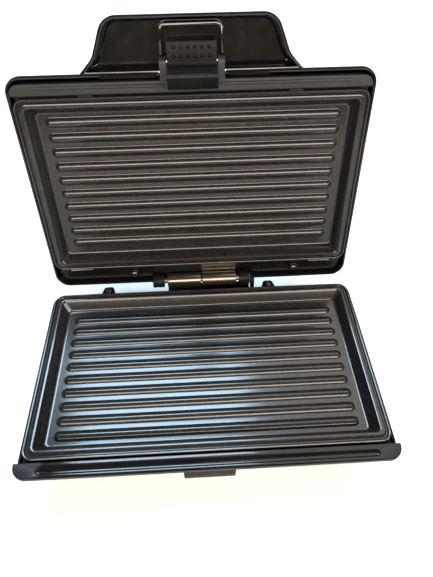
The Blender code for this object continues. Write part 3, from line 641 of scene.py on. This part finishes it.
def strip_clip(name, node, half, path, gauge):
    """A spring strip bent along a path in y and z, as wide as its CAD node."""
    low, high = extent(node, half)
    side = []
    for i, point in enumerate(path):
        here = Vector(point)
        ahead = Vector(path[min(i + 1, len(path) - 1)]) - Vector(path[max(i - 1, 0)])
        normal = Vector((-ahead.y, ahead.x)).normalized() * gauge / 2
        side.append((here + normal, here - normal))
    bm = bmesh.new()
    add_bar(bm, [a for a, _ in side] + [b for _, b in reversed(side)], low.x, high.x)
    return make_piece(name, bm, half, "bright_tin", fixed_body(half), [node], bevel=0.15)


# ---------------- base

HOUSING_GAUGE = 2.2
# the housing's outside, from its foot to its rim: inset of the sides and front, rear y, corner radius and z
HOUSING_OUTSIDE = [
    (11.1, 15.5, 3.9, 10.8, -41.0), (10.4, 14.8, 4.6, 11.5, -40.8), (9.9, 14.2, 5.3, 12.0, -40.2),
    (9.0, 13.0, 6.6, 12.0, -38.6), (6.5, 10.9, 8.4, 12.0, -37.0), (4.2, 7.6, 8.8, 11.6, -27.0),
    (2.0, 4.2, 9.0, 11.0, -16.0), (0.7, 2.0, 6.9, 10.0, -10.6), (0.0, 0.7, 3.9, 9.0, -6.8),
    (0.0, 0.1, 2.6, 9.0, -4.6),
]
LEDGE_DEPTH = 6.55          # the faces of the ledge that a plate rests on, from the plane of the rims
LEDGE_UNDER = 8.5


def base_housing():
    """The base's shell with the plate's ledge, its holes, and the two lugs at the rear."""
    low, high = extent("base_housing", BASE)
    half_width, front, top = high.x, low.y, -3.95

    def ring(side, ahead, rear, radius, z):
        return box_ring(half_width - side, front + ahead, rear, radius, z)

    g = HOUSING_GAUGE
    outside = through(HOUSING_OUTSIDE, 3)
    rim = [(0.35, 0.4, 2.2, 8.7, top), (1.7, 1.7, 0.9, 7.4, top), (2.0, 2.2, 0.6, 7.1, top - 0.3)]
    ledge = [(2.2, 2.7, 1.4, 6.8, -LEDGE_DEPTH), (7.3, 12.0, -4.6, 4.0, -LEDGE_DEPTH),
             (7.3, 12.0, -4.6, 4.0, -LEDGE_UNDER), (3.0, 4.0, 3.4, 6.0, -LEDGE_UNDER)]
    inside = [(side + g, ahead + g, rear - g, radius - g, z)
              for side, ahead, rear, radius, z in reversed(HOUSING_OUTSIDE) if z < -LEDGE_UNDER - 1.0]
    bm = bmesh.new()
    add_rings(bm, [ring(*section) for section in outside + rim + ledge + inside], closed=True)
    cutters = bmesh.new()
    hinge_low, hinge_high = extent("base_hinge_leaf", BASE)
    add_block(cutters, hinge_low.x - 0.6, hinge_high.x + 0.6, -3.0, 12.0, -11.6, -LEDGE_UNDER)
    button_low, button_high = extent("release_button", BASE)
    middle = (button_low + button_high) / 2
    radius = (button_high.z - button_low.z) / 2
    add_turned(cutters, [(radius + 0.4, 0.0), (radius + 0.4, 12.0)], (112.0, middle.y, middle.z), (1, 0, 0))
    gland_low, gland_high = extent("cord_gland", BASE)
    gland = (gland_low + gland_high) / 2
    gland_radius = (gland_high.x - gland_low.x) / 2
    gland_hole = [(gland_radius + 0.3, 0.0), (gland_radius + 0.3, 14.0)]
    add_turned(cutters, gland_hole, (gland.x, 0.0, gland.z), (0, 1, 0))
    housing = cut(bm, cutters)
    for node in ("rear_frame_screw_left", "rear_frame_screw_right"):
        screw_low, screw_high = extent(node, BASE)
        x, y = (screw_low.x + screw_high.x) / 2, (screw_low.y + screw_high.y) / 2
        foot = [(x + 6.4, 0.8), (x + 3.6, high.y), (x - 3.6, high.y), (x - 6.4, 0.8)]
        outline = rounded_outline(foot, [0.5, 2.6, 2.6, 0.5], 6)
        crown = [(x + (p.x - x) * 0.93, y + (p.y - y) * 0.93, screw_low.z - 0.35) for p in outline]
        stem = [level(outline, z) for z in (-15.5, screw_low.z - 0.85)]
        add_rings(housing, stem + [crown])
    return make_piece("base_shell", housing, BASE, "black_satin", "base", ["base_housing"])


def base_front_deck():
    """The long strip in front of the plate, with rounded edges and a groove with round ends."""
    low, high = extent("base_front_deck", BASE)
    groove_y, groove_half, groove_end = -140.0, 2.0, 105.0
    corners = [(high.x, high.y), (low.x, high.y), (low.x, low.y), (high.x, low.y)]

    def ring(inset, z):
        radii = [max(0.3, radius - inset) for radius in (0.6, 0.6, 9.0, 9.0)]
        return level(rounded_outline(inset_corners(corners, inset), radii), z)

    bm = bmesh.new()
    top = high.z
    edge = [(0.3, low.z), (0.0, low.z + 0.3), (0.0, top - 0.9), (0.1, top - 0.45), (0.35, top - 0.12),
            (0.8, top)]
    outer = add_rings(bm, [ring(*section) for section in edge], caps=(True, False))[1]
    groove = [(0.55, 0.0), (0.25, 0.06), (0.05, 0.3), (0.0, 0.9), (-0.3, 1.45), (-0.9, 1.75), (-1.5, 1.8)]
    stack = [slot_ring(groove_end, groove_y, groove_half + wide, top - depth) for wide, depth in groove]
    inner = add_rings(bm, stack, caps=(False, True))[0]
    add_floor(bm, [outer, inner])
    return make_piece("front_deck_strip", bm, BASE, "deck_gloss", "base", ["base_front_deck"])


def latch_catch():
    """The wedge under the front deck that the latch's hook holds."""
    low, high = extent("latch_catch", BASE)
    profile = [(low.y, high.z), (low.y, low.z), (high.y, low.z), (low.y + 3.6, high.z)]
    outline = rounded_outline(profile, [0.4, 1.2, 0.8, 0.4], 5)
    bm = bmesh.new()
    add_bar(bm, outline, low.x, high.x)
    return make_piece("catch_block", bm, BASE, "black_satin", "base", ["latch_catch"], bevel=0.35, sharp=50.0)


VENT_COUNT, VENT_LEFT_X, VENT_PITCH = 6, -28.0, 12.0
VENT_Y, VENT_HALF_LENGTH, VENT_HALF_WIDTH = -66.0, 18.0, 2.0


def bottom_cover():
    """The flat cover between the feet, with a groove round it and round-ended vent slots."""
    low, high = extent("bottom_cover", BASE)

    def ring(inset, z):
        return box_ring(high.x - inset, low.y + inset, high.y - inset, 9.4 - inset, z)

    bm = bmesh.new()
    edge = [(2.0, high.z), (0.3, high.z), (0.0, high.z - 0.3), (0.0, low.z + 0.4), (0.4, low.z),
            (3.0, low.z), (3.4, low.z + 0.5), (4.4, low.z + 0.5), (4.8, low.z)]
    upper, lower = add_rings(bm, [ring(*section) for section in edge], caps=(False, False))
    slots = []
    outline = slot_ring(VENT_HALF_LENGTH, 0.0, VENT_HALF_WIDTH, 0.0, 6)
    for i in range(VENT_COUNT):
        x = VENT_LEFT_X + VENT_PITCH * i
        walls = [[(x + across, VENT_Y + along, z) for along, across, _ in outline] for z in (high.z, low.z)]
        slots.append(add_rings(bm, walls, caps=(False, False)))
    add_floor(bm, [upper] + [first for first, _ in slots])
    add_floor(bm, [lower] + [last for _, last in slots])
    return make_piece("bottom_panel", bm, BASE, "black_satin", "base", ["bottom_cover"])


def rubber_foot(node):
    """A foot with a rounded edge and a ring pressed into its sole."""
    low, high = extent(node, BASE)
    x, y = (low.x + high.x) / 2, (low.y + high.y) / 2
    radius = (high.x - low.x) / 2
    height = high.z - low.z
    sole = radius - 1.0
    profile = [(radius * 0.6, height), (radius, height), (radius, height - 0.5), (sole, 0.5),
               (sole - 0.25, 0.12), (sole - 0.7, 0.0), (sole - 2.2, 0.0), (sole - 2.5, 0.5),
               (sole - 3.6, 0.5), (sole - 3.9, 0.05), (0.3, 0.05)]
    bm = bmesh.new()
    add_turned(bm, profile, (x, y, low.z), (0, 0, 1))
    return make_piece(f"{node}_pad", bm, BASE, "rubber", "base", [node])


def release_button():
    """The round button on the right, with a rounded edge, a shallow dish and a stem inside."""
    low, high = extent("release_button", BASE)
    middle = (low + high) / 2
    radius = (high.z - low.z) / 2
    length = high.x - low.x
    profile = [(1.3, 0.0), (1.6, 0.3), (1.6, 3.6), (radius - 0.3, 3.6), (radius, 3.9), (radius, length - 1.0),
               (radius - 0.2, length - 0.5), (radius - 0.7, length - 0.15), (radius - 1.4, length),
               (radius - 2.4, length - 0.25), (0.3, length - 0.45)]
    bm = bmesh.new()
    add_turned(bm, profile, (low.x, middle.y, middle.z), (1, 0, 0))
    return make_piece("release_button_cap", bm, BASE, "black_satin", "release_button", ["release_button"])


SPRING_TURNS, SPRING_STEPS = 3, 24      # turns, and steps in a turn
SPRING_WIRE, WIRE_SIDES = 0.3, 10       # the wire's radius, and its sides


def release_spring():
    """The coil behind the button."""
    low, high = extent("release_spring", BASE)
    middle = (low + high) / 2
    radius = (high.z - low.z) / 2 - SPRING_WIRE
    start, end = low.x + SPRING_WIRE, high.x - SPRING_WIRE
    rings = []
    for i in range(SPRING_TURNS * SPRING_STEPS + 1):
        angle = math.tau * i / SPRING_STEPS
        along = start + (end - start) * i / (SPRING_TURNS * SPRING_STEPS)
        out = Vector((0.0, math.cos(angle), math.sin(angle)))
        centre = Vector((along, middle.y, middle.z)) + out * radius
        turns = [math.tau * k / WIRE_SIDES for k in range(WIRE_SIDES)]
        rings.append([centre + SPRING_WIRE * (out * math.cos(t) + Vector((math.sin(t), 0.0, 0.0)))
                      for t in turns])
    bm = bmesh.new()
    add_rings(bm, rings)
    coil = make_piece("release_coil", bm, BASE, "steel", "base", ["release_spring"])
    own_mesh(coil)
    return coil


def cord_gland():
    """The bush in the rear wall, with ribs round it and a hole for the cord."""
    low, high = extent("cord_gland", BASE)
    middle = (low + high) / 2
    radius = (high.x - low.x) / 2
    length = high.y - low.y
    outer = [(3.2, 0.0), (radius, 0.0)]
    for i in range(4):
        at = 2.4 + i * 2.0
        outer += [(radius, at - 0.6), (radius - 0.5, at - 0.4), (radius - 0.5, at + 0.2), (radius, at + 0.4)]
    outer += [(radius - 0.1, length - 0.6), (radius - 0.6, length), (3.4, length), (3.0, length - 0.5),
              (3.0, 0.5)]
    bm = bmesh.new()
    add_turned(bm, outer, (middle.x, low.y, middle.z), (0, 1, 0), closed=True)
    return make_piece("cord_bush", bm, BASE, "rubber", "base", ["cord_gland"])


# the spring strips' paths in y and z, and their gauge
LOWER_CLIP = [(-136.6, -5.8), (-135.0, -5.8), (-134.5, -5.5), (-134.2, -4.9), (-133.9, -4.7), (-133.6, -5.0)]
UPPER_CLIP = [(4.4, 5.95), (2.4, 5.9), (1.7, 5.2), (1.3, 3.4), (0.9, 2.5), (0.7, 3.6), (0.8, 5.0)]
CLIP_GAUGE = 0.5


def base_pieces():
    """All the base's pieces apart from the hinge."""
    base_housing()
    base_front_deck()
    latch_catch()
    bottom_cover()
    for end in ("front", "rear"):
        for side in ("left", "right"):
            rubber_foot(f"foot_{end}_{side}")
            screw_head(f"bottom_screw_{end}_{side}_head", f"bottom_screw_{end}_{side}", BASE, -1)
    for side in ("left", "right"):
        screw_head(f"rear_screw_{side}_head", f"rear_frame_screw_{side}", BASE, 1, "dark_steel")
        strip_clip(f"lower_clip_{side}_strip", f"lower_plate_clip_{side}", BASE, LOWER_CLIP, CLIP_GAUGE)
    release_button()
    release_spring()
    cord_gland()
    grill_plate("lower_grill_plate", -1, BASE)


# ---------------- hinge

def knuckle(bm, start, end, radius, bore, y, z):
    """A tube with softened ends."""
    length = end - start
    profile = [(bore, 0.3), (bore + 0.3, 0.0), (radius - 0.45, 0.0), (radius - 0.12, 0.12), (radius, 0.45),
               (radius, length - 0.45), (radius - 0.12, length - 0.12), (radius - 0.45, length),
               (bore + 0.3, length), (bore, length - 0.3)]
    add_turned(bm, profile, (start, y, z), (1, 0, 0), 64, closed=True)


HINGE_Y, HINGE_Z = 12.7, -2.0
KNUCKLE_RADIUS, BORE_RADIUS = 5.75, 2.46
# where each leaf's bright barrel and black cheek start and end along x
BASE_KNUCKLES = [(-28.2, -0.5), (31.2, 39.6)]
LID_KNUCKLES = [(0.4, 28.6), (-40.2, -31.0)]


def hinge_leaf(side, node, half, body, turn, barrel, cheek, metal_strip):
    """A leaf in two pieces: the bright barrel with its strip, and the black cheek with the rest.

    The sign turn is the way that the leaf lies from the rims in z.
    """
    near, far = (8.9, 11.2) if turn < 0 else (4.1, 6.2)
    front, rear = (-1.4, 14.6) if turn < 0 else (1.2, 13.9)
    bright, dark = bmesh.new(), bmesh.new()

    def strip(bm, left, right):
        outline = rounded_outline([(front, near), (rear, near), (rear, far), (front, far)], [0.4] * 4, 4)
        add_bar(bm, [(p.x, turn * p.y) for p in outline], left, right)

    def joint(bm, start, end):
        knuckle(bm, start, end, KNUCKLE_RADIUS, BORE_RADIUS, HINGE_Y, HINGE_Z)
        root = HINGE_Z + turn * 3.2
        foot = [(HINGE_Y - 4.7, root), (rear - 0.1, root), (rear - 0.1, turn * (near + 0.5)),
                (HINGE_Y - 5.2, turn * (near + 0.5))]
        add_bar(bm, foot, start + 0.2, end - 0.2)

    joint(bright, *barrel)
    joint(dark, *cheek)
    strip(bright, *metal_strip)
    others = (metal_strip[1], cheek[1]) if cheek[0] > barrel[0] else (cheek[0], metal_strip[0])
    strip(dark, *others)
    make_piece(f"hinge_knuckle_{side}", bright, half, "hinge_metal", body, [node])
    make_piece(f"hinge_cheek_{side}", dark, half, "black_satin", body)


def hinge_pieces():
    """The two leaves, and the black guard at the right of them."""
    hinge_leaf("lower", "base_hinge_leaf", BASE, "base", -1, *BASE_KNUCKLES, (BASE_KNUCKLES[0][0], 2.0))
    hinge_leaf("upper", "lid_hinge_leaf", LID, "lid", 1, *LID_KNUCKLES, LID_KNUCKLES[0])
    low, high = extent("hinge_cable_guard", BASE)
    profile = [(7.2, -11.2), (16.4, -8.4), (16.4, -0.4), (13.0, 1.6), (9.0, 1.6), (6.6, -3.6)]
    outline = rounded_outline(profile, [0.6, 1.4, 2.0, 2.0, 1.6, 1.0], 6)
    bm = bmesh.new()
    add_bar(bm, outline, low.x, high.x)
    make_piece("hinge_guard", bm, BASE, "black_satin", "base", ["hinge_cable_guard"], bevel=0.3, sharp=45.0)


# ---------------- lid

# the cover from its edge to its crown: inset of the sides, front and rear, corner radius and z
COVER_PROFILE = [
    (0.0, 0.0, 0.0, 11.0, 4.2), (1.6, 3.6, 0.9, 12.0, 14.0), (5.2, 11.4, 3.3, 14.0, 28.0),
    (10.6, 20.2, 7.9, 17.0, 37.0), (22.6, 34.2, 19.5, 20.0, 41.6), (58.6, 60.0, 48.0, 20.0, 43.2),
    (92.0, 74.0, 64.0, 8.0, 43.5),
]
# the cover's edge, from its inner wall to its outer one
COVER_EDGE = [(2.2, 2.2, 2.2, 8.8, 2.6), (2.0, 2.0, 2.0, 9.0, 1.3), (1.5, 1.5, 1.5, 9.5, 0.85),
              (0.9, 0.9, 0.9, 10.1, 0.8), (0.3, 0.3, 0.3, 10.7, 1.2), (0.0, 0.0, 0.0, 11.0, 2.2)]
LENS_Y = -72.0


def lid_cover():
    """The cover's shell with its rolled edge, its openings, and two bars beside the latch."""
    low, high = extent("lid_outer_cover", LID)

    def ring(side, ahead, behind, radius, z):
        return box_ring(high.x - side, low.y + ahead, high.y - behind, radius, z)

    inside = []
    for side, ahead, behind, radius, z in reversed(COVER_PROFILE):
        wall = HOUSING_GAUGE
        drop = 0.0 if z < 5.0 else wall * min(1.0, z / 34.0)
        inside.append((side + wall, ahead + wall, behind + wall, max(radius - wall, 2.0), z - drop))
    bm = bmesh.new()
    add_rings(bm, [ring(*section) for section in inside + COVER_EDGE + through(COVER_PROFILE, 6)])
    cutters = bmesh.new()
    add_block(cutters, -21.6, 21.6, -150.0, -140.4, -1.0, 9.6)
    add_block(cutters, -41.0, 44.4, 9.0, 20.0, -1.0, 6.8)
    for node in ("power_lamp_lens", "ready_lamp_lens"):
        lens_low, lens_high = extent(node, LID)
        x, radius = (lens_low.x + lens_high.x) / 2, (lens_high.x - lens_low.x) / 2
        add_turned(cutters, [(radius + 0.35, 0.0), (radius + 0.35, 12.0)], (x, LENS_Y, 36.0), (0, 0, 1))
    cover = cut(bm, cutters)
    for left, right in ((-58.8, -22.6), (22.8, 49.8)):
        corners = [(left, -145.4), (right, -145.4), (right, -143.5), (left, -143.5)]
        bar = rounded_outline(corners, [0.9] * 4, 5)
        add_slab(cover, bar, 0.15, 3.0)
    return make_piece("lid_shell", cover, LID, "black_gloss", "lid", ["lid_outer_cover"])


# the grip's outline, its corners' radii, and which of them turn the other way
HANDLE_CORNERS = [
    (72.5, -145.3), (-72.5, -145.3), (-62.6, -155.0), (-53.0, -178.0), (53.0, -178.0), (62.6, -155.0),
]
HANDLE_RADII = [0.4, 0.4, 14.0, 12.5, 12.5, 14.0]
HANDLE_CONCAVE = [False, False, True, False, False, True]
# the grip's section: inset from its outline, and z
HANDLE_SECTION = [
    (4.3, 15.3), (3.2, 15.05), (2.2, 14.5), (1.3, 13.5), (0.7, 12.0), (0.35, 9.5), (0.0, 4.0),
    (0.0, 3.3), (0.2, 2.85), (0.6, 2.6), (1.5, 2.6), (1.85, 2.8), (2.0, 3.3), (2.3, 8.4), (2.7, 10.2),
    (3.4, 11.6), (4.3, 12.7),
]
# the frame round the latch's well, and the round mould marks beside it
WELL_CORNERS = [
    (20.4, -155.9), (18.0, -155.9), (18.0, -171.4), (-18.0, -171.4), (-18.0, -155.9), (-20.4, -155.9),
    (-20.4, -173.6), (20.4, -173.6),
]
WELL_SECTION = [(0.0, 13.2), (0.0, 3.6), (0.15, 3.2), (0.5, 3.0)]
MARK_PROFILE = [(3.0, 0.0), (3.35, 0.0), (3.3, 0.16), (3.05, 0.16)]


def handle():
    """The grip: a hollow shell whose open side faces down when the lid is shut, and the latch's frame."""

    def ring(inset, z):
        radii = []
        for radius, concave in zip(HANDLE_RADII, HANDLE_CONCAVE):
            radii.append(radius + inset if concave else max(0.4, radius - inset))
        return level(rounded_outline(inset_corners(HANDLE_CORNERS, inset), radii, 12), z)

    bm = bmesh.new()
    add_rings(bm, [ring(*section) for section in HANDLE_SECTION])
    room = bmesh.new()
    add_block(room, -21.6, 21.6, -155.9, -144.0, -1.0, 9.2)
    grip = cut(bm, room)
    stack = []
    for inset, z in WELL_SECTION:
        tip, inner, outer = 0.5 - inset / 2, 2.6 + inset, 5.0 - inset
        radii = [tip, tip, inner, inner, tip, tip, outer, outer]
        stack.append(level(rounded_outline(inset_corners(WELL_CORNERS, inset), radii, 8), z))
    add_rings(grip, stack)
    for x in (-29.5, 29.5):
        add_turned(grip, MARK_PROFILE, (x, -160.0, 12.85), (0, 0, -1), closed=True)
    return make_piece("grip_shell", grip, LID, "black_gloss", "lid", ["handle_grip"])


def lid_deck():
    """The grey strip in front of the upper plate, with the ridges along it and the latch's ears."""
    low, high = extent("lid_front_deck", LID)
    front, rear = -141.7, -134.3
    corners = [(high.x, rear), (low.x, rear), (low.x, front), (high.x, front)]

    def ring(inset, z):
        radii = [max(0.3, radius - inset) for radius in (0.6, 0.6, 6.4, 6.4)]
        return level(rounded_outline(inset_corners(corners, inset), radii), z)

    bm = bmesh.new()
    add_rings(bm, [ring(*s) for s in ((0.0, 3.0), (0.0, 1.0), (0.12, 0.65), (0.35, 0.45), (0.7, 0.4))])
    for inner, outer in ((rear - 1.6, rear - 0.05), (front + 0.05, front + 1.6)):
        add_block(bm, -110.0, 110.0, inner, outer, 2.0, 6.2)
    ridge_corners = [(-139.9, 1.0), (-139.9, -1.2), (-138.1, -1.2), (-138.1, 1.0)]
    ridge = rounded_outline(ridge_corners, [0.1, 0.7, 0.7, 0.1], 5)
    ear_corners = [(-140.2, 0.42), (-140.2, 8.2), (-155.0, 8.2), (-155.0, 0.1)]
    ear = rounded_outline(ear_corners, [0.2, 1.0, 3.6, 3.6], 8)
    for side in (-1, 1):
        ends = sorted((side * 17.8, side * 103.0))
        add_bar(bm, ridge, *ends)
        cheek = sorted((side * 16.2, side * 20.8))
        add_bar(bm, ear, *cheek)
    return make_piece("lid_deck_strip", bm, LID, "grey_matt", "lid", ["lid_front_deck"],
                      bevel=0.3, sharp=50.0)


def lid_frame():
    """The ring behind the upper plate, and the bosses of its two screws."""
    ring = [(117.2, -139.6, 13.2, 8.0, LEDGE_DEPTH), (113.2, -128.4, -4.6, 4.0, LEDGE_DEPTH),
            (113.2, -128.4, -4.6, 4.0, LEDGE_UNDER), (117.2, -139.6, 13.2, 8.0, LEDGE_UNDER)]
    bm = bmesh.new()
    add_rings(bm, [box_ring(*section) for section in ring], closed=True)
    for node in ("lid_frame_screw_left", "lid_frame_screw_right"):
        screw_low, screw_high = extent(node, LID)
        x, y = (screw_low.x + screw_high.x) / 2, (screw_low.y + screw_high.y) / 2
        seat = screw_high.z + 0.35
        boss = [(4.6, 7.4), (4.3, 7.0), (4.1, seat + 1.0), (3.9, seat + 0.2), (3.6, seat), (0.3, seat)]
        add_turned(bm, boss, (x, y, 0.0), (0, 0, 1))
    return make_piece("lid_frame_ring", bm, LID, "frame_gloss", "lid", ["lid_inner_frame"])


LATCH_PIVOT = (-152.0, 4.0)         # y and z
LATCH_BOSS_RADIUS = 3.0
PAD_ROWS, PAD_COLUMNS, PAD_PITCH, PAD_LEFT_X = (-160.6, -155.4), 6, 4.4, -11.0
PAD_DOT = [(1.15, -0.5), (1.15, 0.05), (1.0, 0.35), (0.7, 0.58), (0.3, 0.7), (0.05, 0.72)]


def latch():
    """The latch in one moulding: a pad with two rows of dots, a boss and a hook."""
    low, high = extent("latch", LID)
    boss = []
    for degrees in range(170, -26, -15):
        angle = math.radians(degrees)
        boss.append((LATCH_PIVOT[0] + LATCH_BOSS_RADIUS * math.cos(angle),
                     LATCH_PIVOT[1] + LATCH_BOSS_RADIUS * math.sin(angle)))
    pad = [(-163.6, -0.9), (-163.6, 1.4), (-156.6, 2.0)]
    hook = [(-145.4, -1.2), (-145.4, -15.95), (-139.8, -15.95), (-139.8, -17.4), (-146.9, -20.2),
            (-148.6, -19.8), (-149.2, -10.0), (-150.2, -1.4), (-151.8, -0.7)]
    corners = pad + boss + hook
    radii = [0.7, 0.6, 0.8] + [0.2] * len(boss) + [0.6, 0.3, 0.4, 0.5, 0.9, 0.8, 3.0, 0.5, 0.6]
    bm = bmesh.new()
    add_bar(bm, rounded_outline(corners, radii, 4), low.x, high.x)
    cutters = bmesh.new()
    add_turned(cutters, [(1.31, -20.0), (1.31, 20.0)], (0.0, *LATCH_PIVOT), (1, 0, 0))
    add_block(cutters, -5.0, 5.0, -155.8, -148.2, 1.1, 8.0)
    body = cut(bm, cutters)
    for row in PAD_ROWS:
        for i in range(PAD_COLUMNS):
            add_turned(body, PAD_DOT, (PAD_LEFT_X + PAD_PITCH * i, row, -0.85), (0, 0, -1), 20)
    return make_piece("latch_moulding", body, LID, "latch_satin", "latch", ["latch"], bevel=0.3, sharp=60.0)


def lamp_lens_piece(node, finish):
    """A lens with a low dome."""
    low, high = extent(node, LID)
    x, y = (low.x + high.x) / 2, (low.y + high.y) / 2
    radius, height = (high.x - low.x) / 2, high.z - low.z
    rise, steps = 0.9, 8
    dome = [(radius, 0.0), (radius, height - rise)]
    for k in range(1, steps):
        angle = math.pi / 2 * k / steps
        dome.append((radius * math.cos(angle), height - rise + rise * math.sin(angle)))
    bm = bmesh.new()
    add_turned(bm, dome, (x, y, low.z), (0, 0, 1))
    return make_piece(f"{node}_dome", bm, LID, finish, "lid", [node])


def lid_pieces():
    """All the lid's pieces apart from the hinge."""
    lid_cover()
    handle()
    lid_deck()
    lid_frame()
    latch()
    lamp_lens_piece("power_lamp_lens", "lens_red")
    lamp_lens_piece("ready_lamp_lens", "lens_green")
    for side in ("left", "right"):
        screw_head(f"lid_screw_{side}_head", f"lid_frame_screw_{side}", LID, -1, "dark_steel")
        strip_clip(f"upper_clip_{side}_strip", f"upper_plate_clip_{side}", LID, UPPER_CLIP, CLIP_GAUGE)
    grill_plate("upper_grill_plate", 1, LID, tabs=(-70.0, 68.0))


# ---------------- stage, light and camera

def floor():
    """The plain pale floor."""
    bpy.ops.mesh.primitive_plane_add(size=12.0, location=(0.0, 0.0, 0.0))
    ground = bpy.context.object
    ground.name = "studio_floor"
    made = Shading("studio_floor", 0.75, 0.0, 0.2)
    made.mottle(made.noise(1.5), (0.61, 0.63, 0.65), (0.64, 0.66, 0.68), end=0.7)
    ground.data.materials.append(made.material)


def softbox(name, place, target, width, height, power, colour):
    """A rectangular light at a place, facing a target. Lengths are in metres and the power is in watts."""
    data = bpy.data.lights.new(name, "AREA")
    data.shape = "RECTANGLE"
    data.size = width
    data.size_y = height
    data.energy = power
    data.color = colour
    light = bpy.data.objects.new(name, data)
    light.location = place
    light.rotation_euler = (Vector(target) - Vector(place)).to_track_quat("-Z", "Y").to_euler()
    bpy.context.scene.collection.objects.link(light)


def sky():
    """A dim warm world, and the view transform that keeps whites white."""
    bpy.context.scene.view_settings.view_transform = "Standard"
    world = bpy.data.worlds.new("studio")
    world.use_nodes = True
    background = world.node_tree.nodes["Background"]
    background.inputs["Color"].default_value = (1.0, 0.86, 0.70, 1.0)
    background.inputs["Strength"].default_value = 0.28
    bpy.context.scene.world = world


def light_scene():
    """A cool window behind, a warm ceiling and key, and a cool light at the right."""
    sky()
    softbox("window", (-0.21, 0.80, 1.65), (-0.05, -0.05, 0.05), 0.80, 0.45, 48.0, (0.50, 0.76, 1.0))
    softbox("ceiling", (0.45, 0.80, 1.80), (0.05, -0.05, 0.05), 2.4, 1.2, 36.0, (1.0, 0.94, 0.86))
    softbox("key", (0.12, -1.8, 1.15), (0.0, 0.0, 0.1), 2.3, 0.85, 132.0, (1.0, 0.87, 0.72))
    softbox("side", (2.2, -1.2, 1.2), (0.0, 0.0, 0.1), 0.8, 0.8, 34.0, (0.84, 0.92, 1.0))


def camera():
    """The camera at the photograph's angle."""
    data = bpy.data.cameras.new("photo_view")
    data.lens = 28.39
    data.sensor_width = 36.0
    view = bpy.data.objects.new("photo_view", data)
    view.location = BASE @ Vector((0.5, -239.9, 283.5))
    view.rotation_euler = [math.radians(angle) for angle in (40.225, 0.302, -3.044)]
    bpy.context.scene.collection.objects.link(view)
    bpy.context.scene.camera = view


camera()
floor()
light_scene()
finish_kept_nodes()
base_pieces()
hinge_pieces()
lid_pieces()
